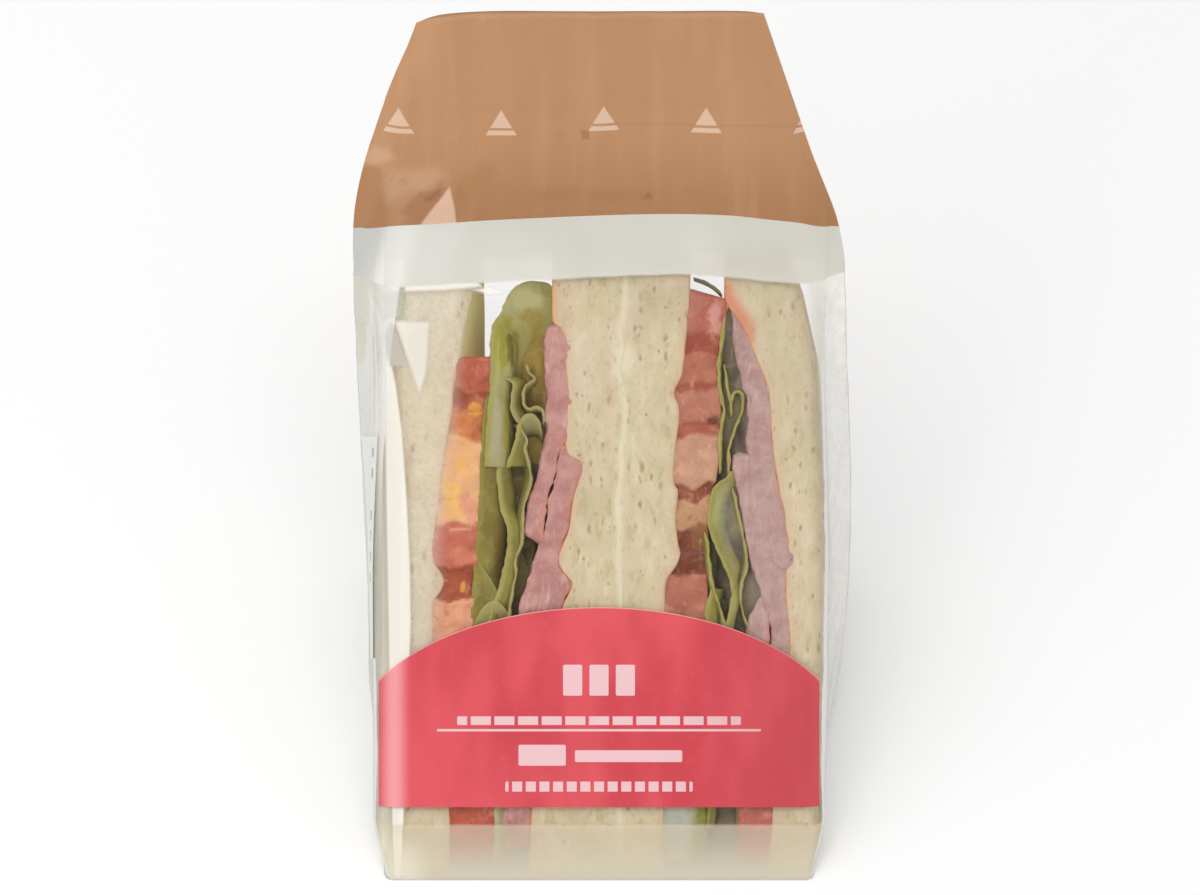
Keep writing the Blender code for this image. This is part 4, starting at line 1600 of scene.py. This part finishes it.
# Creased facets of the film: (column, row, height in millimetres) at three corners
FACETS = (
    ((395, 320, 0), (428, 322, 0.1), (425, 390, 0.06)),
    ((395, 320, 0), (425, 390, 0.06), (412, 372, 0.03)),
    ((374, 284, 0.2), (405, 286, 0.6), (392, 312, 0)),
    ((380, 312, 0), (400, 318, 0.4), (386, 372, 0)),
    ((420, 218, 0), (458, 219, 0.2), (453, 187, 1.4)),
    ((458, 219, 0), (470, 200, 0), (453, 187, 1.4)),
    ((354, 228, 1.2), (370, 166, 1), (386, 222, 0)),
    ((386, 222, 0), (370, 166, 1), (432, 196, 0.2)),
    ((384, 168, 0), (448, 172, 0), (432, 198, 1)),
)


def half_depth(z):
    header = HEADER_THICKNESS * 0.5
    over = (LEG - z) * 0.5 - header
    body = (over + math.hypot(over, NECK_BLEND)) * 0.5
    return header * mix(1.0, 0.5, ease(z, LEG, TOP)) + body


def seam_half(z):
    rise = 1.0 - max(1.0 - z / SEAM_FULL, 0.0) ** 1.6
    body = mix(SEAM_FOOT_HALF, SEAM_HALF, rise)
    header = HEADER_TOP_HALF + (TOP - z) * HEADER_CLOSING
    return (body + header - math.hypot(body - header, SHOULDER_BEND)) * 0.5


def seam_shift(z):
    rise = ease(z, -LEG * 0.15, LEG * 0.28)
    return SEAM_SHIFT * rise * (1.0 - ease(z, LEG * 0.35, LEG))


def face_half(z):
    body = mix(FOOT_HALF, FACE_HALF, ease(z, 0.0, FOOT_ROUNDING))
    body = mix(body, NECK_HALF, ease(z, LEG * 0.45, LEG * 0.95))
    header = seam_half(z) - HEADER_RIM
    return mix(body, header, ease(z, LEG * 0.93, LEG * 1.08))


def foot_taper(z):
    """How much narrower the film is drawn in towards its foot."""
    return 1.0 - FOOT_TAPER * (1.0 - ease(z, 0.0, TAPER_REACH))


def side_sag(depth, share):
    """How far a side panel sags inwards, at this share of the way from its front or back edge."""
    return min(SIDE_SAG, depth * 0.1) * 4.0 * share * (1.0 - share)


def quarter_outline(z):
    """(x, y) about the seam line, from the middle of the front to just short of the right seam."""
    depth = half_depth(z)
    face = face_half(z)
    seam = Vector((seam_half(z), 0.0))
    corner = Vector((face, -depth))
    side = seam - corner
    bend = min(CORNER * mix(0.4, 1.0, ease(z, 0.0, LEG * 0.2)), side.length * 0.45)
    start = Vector((face - bend, -depth))
    end = corner + side.normalized() * bend
    points = [Vector((start.x * i / FRONT_STEPS, -depth)) for i in range(FRONT_STEPS)]
    for i in range(CORNER_STEPS + 1):
        t = i / CORNER_STEPS
        points.append(start * (1 - t) ** 2 + corner * (2 * t * (1 - t)) + end * t ** 2)
    inward = Vector((-side.y, side.x)).normalized()
    for i in range(1, SIDE_STEPS):
        t = i / SIDE_STEPS
        points.append(end.lerp(seam, t) + inward * side_sag(depth, t))
    return points


def film_outline(z):
    """The whole outline at height z, round from the middle of the front by way of the right."""
    quarter = quarter_outline(z)
    seam = Vector((seam_half(z), 0.0))
    right = quarter + [seam] + [Vector((p.x, -p.y)) for p in reversed(quarter)]
    return right + [-p for p in right[1:-1]]


def kept_outline(z):
    key = round(z, 7)
    if key not in OUTLINES:
        OUTLINES[key] = film_outline(z)
    return OUTLINES[key]


def outline_normals(loop):
    """Outward directions round the outline, level, one per column."""
    found = []
    for i, after in enumerate(loop[1:] + loop[:1]):
        along = after - loop[i - 1]
        found.append(Vector((along.y, -along.x, 0.0)).normalized())
    return found


def side_share(column):
    """How much of a column of the film belongs to a side panel."""
    from_middle = column % (2 * QUARTER)
    from_middle = min(from_middle, 2 * QUARTER - from_middle)
    return ease(from_middle, FRONT_STEPS + 2, FRONT_STEPS + CORNER_STEPS + 2)


def place_section(x, y, z):
    """Where a place on the outline at height z stands in the pack."""
    header = ease(z, LEG * 0.92, LEG * 1.2)
    ripple = math.sin(x * WAVES_ACROSS + 0.8) * math.sin((z - LEG) * WAVES_UP + 0.5)
    wave = HEADER_WAVE * ripple * ease(z, LEG, LEG * 1.12)
    left_end = max(0.0, -x / HEADER_TOP_HALF)
    face = face_half(z)
    out = max(abs(x) - face, 0.0) / (seam_half(z) - face)
    droop = TOP_DROOP * ease(z, TOP - DROOP_REACH, TOP) * min(left_end, 1.0) ** 6
    shift = HEADER_SHIFT * header + seam_shift(z) * out
    return Vector((CENTRE_X + x + shift, CENTRE_Y + y + z * SEAM_LEAN + wave, z - droop))


def over_face(point):
    """(across, up, behind) in metres, over the front and in behind it, of a place in the pack."""
    from_foot = point.y - FRONT_FOOT_Y
    return point.x - CENTRE_X, (from_foot + point.z) * SLOPE, (from_foot - point.z) * SLOPE


def facet_lift(point, side):
    """How far the creased facets stand out at this place, in metres."""
    across, up, _ = over_face(point)
    column = MIDDLE_COLUMN + across / PIXEL
    row = FOOT_ROW - up / PIXEL
    lift = 0.0
    for (ax, ay, ah), (bx, by, bh), (cx, cy, ch) in FACETS:
        area = (bx - ax) * (cy - ay) - (cx - ax) * (by - ay)
        b = ((column - ax) * (cy - ay) - (cx - ax) * (row - ay)) / area
        c = ((bx - ax) * (row - ay) - (column - ax) * (by - ay)) / area
        if b >= 0.0 and c >= 0.0 and b + c <= 1.0:
            lift = max(lift, (1.0 - b - c) * ah + b * bh + c * ch)
    return lift * MM * (1.0 - ease(side, 0.0, 0.8))


def under_label(point):
    """1 where a label lies over the film, and 0 away from it."""
    across, up, behind = over_face(point)
    inside = -1.0
    if abs(across) < LABEL_HALF and behind < LABEL_HALF * 0.1:
        arch = LABEL_CROWN - ARCH_RISE * (1.0 - math.sqrt(1.0 - (across / ARCH_HALF_SPAN) ** 2))
        inside = min(LABEL_HALF - abs(across), up - LABEL_FOOT, arch - up)
    elif across < 0.0:
        level = min(up - SIDE_LABEL_FOOT, SIDE_LABEL_TOP - up)
        inside = min(level, behind - SIDE_LABEL_NEAR, SIDE_LABEL_FAR - behind)
    return ease(inside, -0.0004, 0.0006)


def film_wrinkle(x, z, side, front):
    """How far the loose film stands out or in, at a place across and up."""
    place = Vector((x / MM, z / MM, 40.0 if front else 90.0))
    slow = noise.noise(Vector((place.x / 17.0, place.y / 40.0, place.z)))
    ridge = 1.0 - abs(noise.noise(place / 6.5 + Vector((3.0, 0.0, 0.0)))) * 2.0
    small = noise.fractal(place / 3.2, 1.0, 2.0, 3)
    gather = noise.noise(Vector((place.x / 6.0, place.y / 22.0, place.z)))
    neck = bell(z, NECK_HEIGHT, NECK_REACH)
    height = slow * SLOW_WAVES * (1.0 - side) + side * (ridge * SIDE_RIDGES + small * SIDE_CRINKLES)
    return (height + neck * gather * GATHERS * (1.0 - side * 0.6)) * MM


def header_crumple(x, z, front):
    """Soft upright waves near the header's top, and a crushed corner low on the left."""
    if not front:
        return noise.noise(Vector((x * 70.0, z * 30.0, 7.0))) * BACK_BENDS * MM
    high = ease(z, LEG * 1.08, LEG * 1.30)
    waves = noise.noise(Vector((x * 120.0, z * 12.0, 3.0)))
    broad = noise.noise(Vector((x * 45.0, z * 55.0, 5.0)))
    fold = FOLD_STEP * ease(z, *FOLD)
    across, up = (bell(*place) for place in zip((x, z), CRUSHED_PLACE, CRUSHED_REACH))
    ridge = 1.0 - abs(noise.noise(Vector((x / MM, z / MM, 11.0)) / 7.5)) * 2.4
    height = HEADER_WAVES * high * waves + fold + HEADER_BENDS * broad * (1.0 - high)
    return (height + across * up * ridge * CRUSHED_RIDGES) * MM


def skin(rows, low, high):
    """Places on the bag from the low heights up to the high ones, row by row, each with its share
    of the way up, its column, its height and how far across it is."""
    for row in range(rows + 1):
        share = row / rows
        for column in range(COLUMNS):
            z = mix(low[column], high[column], share)
            p = kept_outline(z)[column]
            yield share, column, z, p.x, place_section(p.x * foot_taper(z), p.y, z)


def build_film():
    """The bag's clear skin up to the print, and the printed header above it."""
    foot_loop = film_outline(0.0)
    normals = outline_normals(foot_loop)
    sides = [side_share(column) for column in range(COLUMNS)]
    fronts = [float(column < QUARTER or column >= 3 * QUARTER) for column in range(COLUMNS)]
    edge_height = [PRINT_EDGE(p.x) for p in film_outline(PRINT_LEVEL)]

    shrink = 1.0 - FILM_FOOT / FACE_HALF
    narrow = shrink * foot_taper(0.0)
    vertices = [place_section(p.x * narrow, p.y * shrink, 0.0) for p in foot_loop]
    band = [MM] * COLUMNS
    cover = [FOOT_COVER[0]] * COLUMNS
    for share, column, z, x, base in skin(FILM_ROWS, [FILM_FOOT] * COLUMNS, edge_height):
        side, front = sides[column], fronts[column]
        lift = film_wrinkle(x, z, side, front)
        lift *= ease(z, 0.0, WRINKLES_FROM) * (1.0 - ease(share, WRINKLES_TO, 1.0))
        if front:
            lift += facet_lift(base, side)
        lift = mix(lift, UNDER_LABEL, under_label(base))
        vertices.append(base + normals[column] * lift)
        band.append(max(z - BAND_LOW(x), FOOT_BAND - z))
        foot_cover = mix(*FOOT_COVER, ease(z, 0.0, FOOT_BAND))
        cover.append(BAND_COVER if z > LEG * 0.5 else foot_cover)
    faces = ring_faces(FILM_ROWS + 2, COLUMNS)
    faces.append(tuple(reversed(range(COLUMNS))))
    bag = add_piece(
        "film_bag", vertices, faces, film_material(), band=band, cover=cover,
        side=[SIDE_BASE] * COLUMNS + sides * (FILM_ROWS + 1),
        front=[1.0] * COLUMNS + fronts * (FILM_ROWS + 1),
    )

    vertices = []
    for share, column, z, x, base in skin(HEADER_ROWS, edge_height, [TOP] * COLUMNS):
        front = fronts[column]
        level = 1.0 - ease(abs(column - QUARTER), 4, 1) - ease(abs(column - 3 * QUARTER), 4, 1)
        lift = header_crumple(x, z, front) * ease(share, 0.0, 0.06) * max(level, 0.0)
        if front:
            lift += facet_lift(base, sides[column])
        vertices.append(base + normals[column] * lift)
    faces = ring_faces(HEADER_ROWS + 1, COLUMNS)
    last = HEADER_ROWS * COLUMNS
    for i in range(-QUARTER, QUARTER):
        corners = (i, i + 1, 2 * QUARTER - i - 1, 2 * QUARTER - i)
        faces.append(tuple(dict.fromkeys(last + corner % COLUMNS for corner in corners)))
    header = add_piece(
        "header", vertices, faces, header_material(), front=fronts * (HEADER_ROWS + 1),
    )
    for piece in (bag, header):
        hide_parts("bag")


# stage

# Lights: name, direction from the pack, distance, width, height and power
LIGHTS = (
    ("key", (-0.92, -0.30, 0.42), 0.72, 0.60, 0.80, 0.55),
    ("top", (-0.22, 0.02, 1.0), 1.1, 1.2, 1.2, 3.5),
    ("fill", (0.85, -0.55, 0.45), 1.6, 0.8, 0.8, 0.8),
    ("left_strip", (-0.423, -0.641, 0.641), 1.2, 0.10, 0.8, 1.0),
    ("upper_strip", (0.0, -0.342, 0.94), 1.2, 0.8, 0.10, 1.3),
)
WORLD_STRENGTH = 0.72


def build_stage():
    bpy.ops.mesh.primitive_plane_add(size=4.0)
    floor = bpy.context.object
    floor.name = "floor"
    p = Paint("pale_floor", (250, 250, 250))
    p.lay(p.noise(p.place(), 0.3, 2.0), 248, 248, 248)
    floor.data.materials.append(p.surface(p.shade(0.9)))
    floor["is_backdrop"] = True


def build_camera():
    """The camera looks straight at the sloping front."""
    target = cut_point(*in_mm(PHOTO_WIDTH * 0.5, PHOTO_HEIGHT * 0.5), 0.0)
    right = Vector((1.0, 0.0, 0.0))
    up = Vector((0.0, SLOPE, SLOPE))
    back = Vector((0.0, -SLOPE, SLOPE))
    data = bpy.data.cameras.new("camera")
    data.sensor_fit = "HORIZONTAL"
    data.sensor_width = SENSOR
    data.lens = SENSOR * CAMERA_DISTANCE / (PHOTO_WIDTH * PIXEL)
    data.clip_start = 0.01
    data.clip_end = 20.0
    camera = bpy.data.objects.new("camera", data)
    turn = Matrix((right, up, back)).transposed()
    camera.matrix_world = Matrix.Translation(target + back * CAMERA_DISTANCE) @ turn.to_4x4()
    bpy.context.scene.collection.objects.link(camera)
    bpy.context.scene.camera = camera
    return target


def add_light(aim, name, direction, distance, width, height, power):
    data = bpy.data.lights.new(name, "AREA")
    data.shape = "RECTANGLE"
    data.size = width
    data.size_y = height
    data.energy = power
    light = bpy.data.objects.new(name, data)
    out = Vector(direction).normalized()
    light.location = aim + out * distance
    light.rotation_euler = out.to_track_quat("Z", "Y").to_euler()
    bpy.context.scene.collection.objects.link(light)


def build_lights(aim):
    world = bpy.data.worlds.new("studio")
    world.use_nodes = True
    background = world.node_tree.nodes["Background"]
    background.inputs["Color"].default_value = (1.0, 1.0, 1.0, 1.0)
    background.inputs["Strength"].default_value = WORLD_STRENGTH
    bpy.context.scene.world = world
    for sizes in LIGHTS:
        add_light(aim, *sizes)
    bpy.context.scene.view_settings.view_transform = "Standard"


def dress_labels():
    for node, material in (("front_label", label_material()), ("side_label", side_label_material())):
        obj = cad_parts[node]
        obj.data.materials.clear()
        obj.data.materials.append(material)


def flat_numbers(value):
    """Numbers and lists only, from whatever shape the bounds come in."""
    if isinstance(value, (int, float)):
        return float(value)
    return [flat_numbers(part) for part in value]


def main():
    aim = build_camera()
    build_lights(aim)
    build_stage()
    dress_labels()
    build_bread()
    build_tomato()
    build_bacon()
    build_lettuce()
    build_film()
    sizes = {"cad": flat_numbers(CAD_BOUNDS), "visual": flat_numbers(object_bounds())}


main()
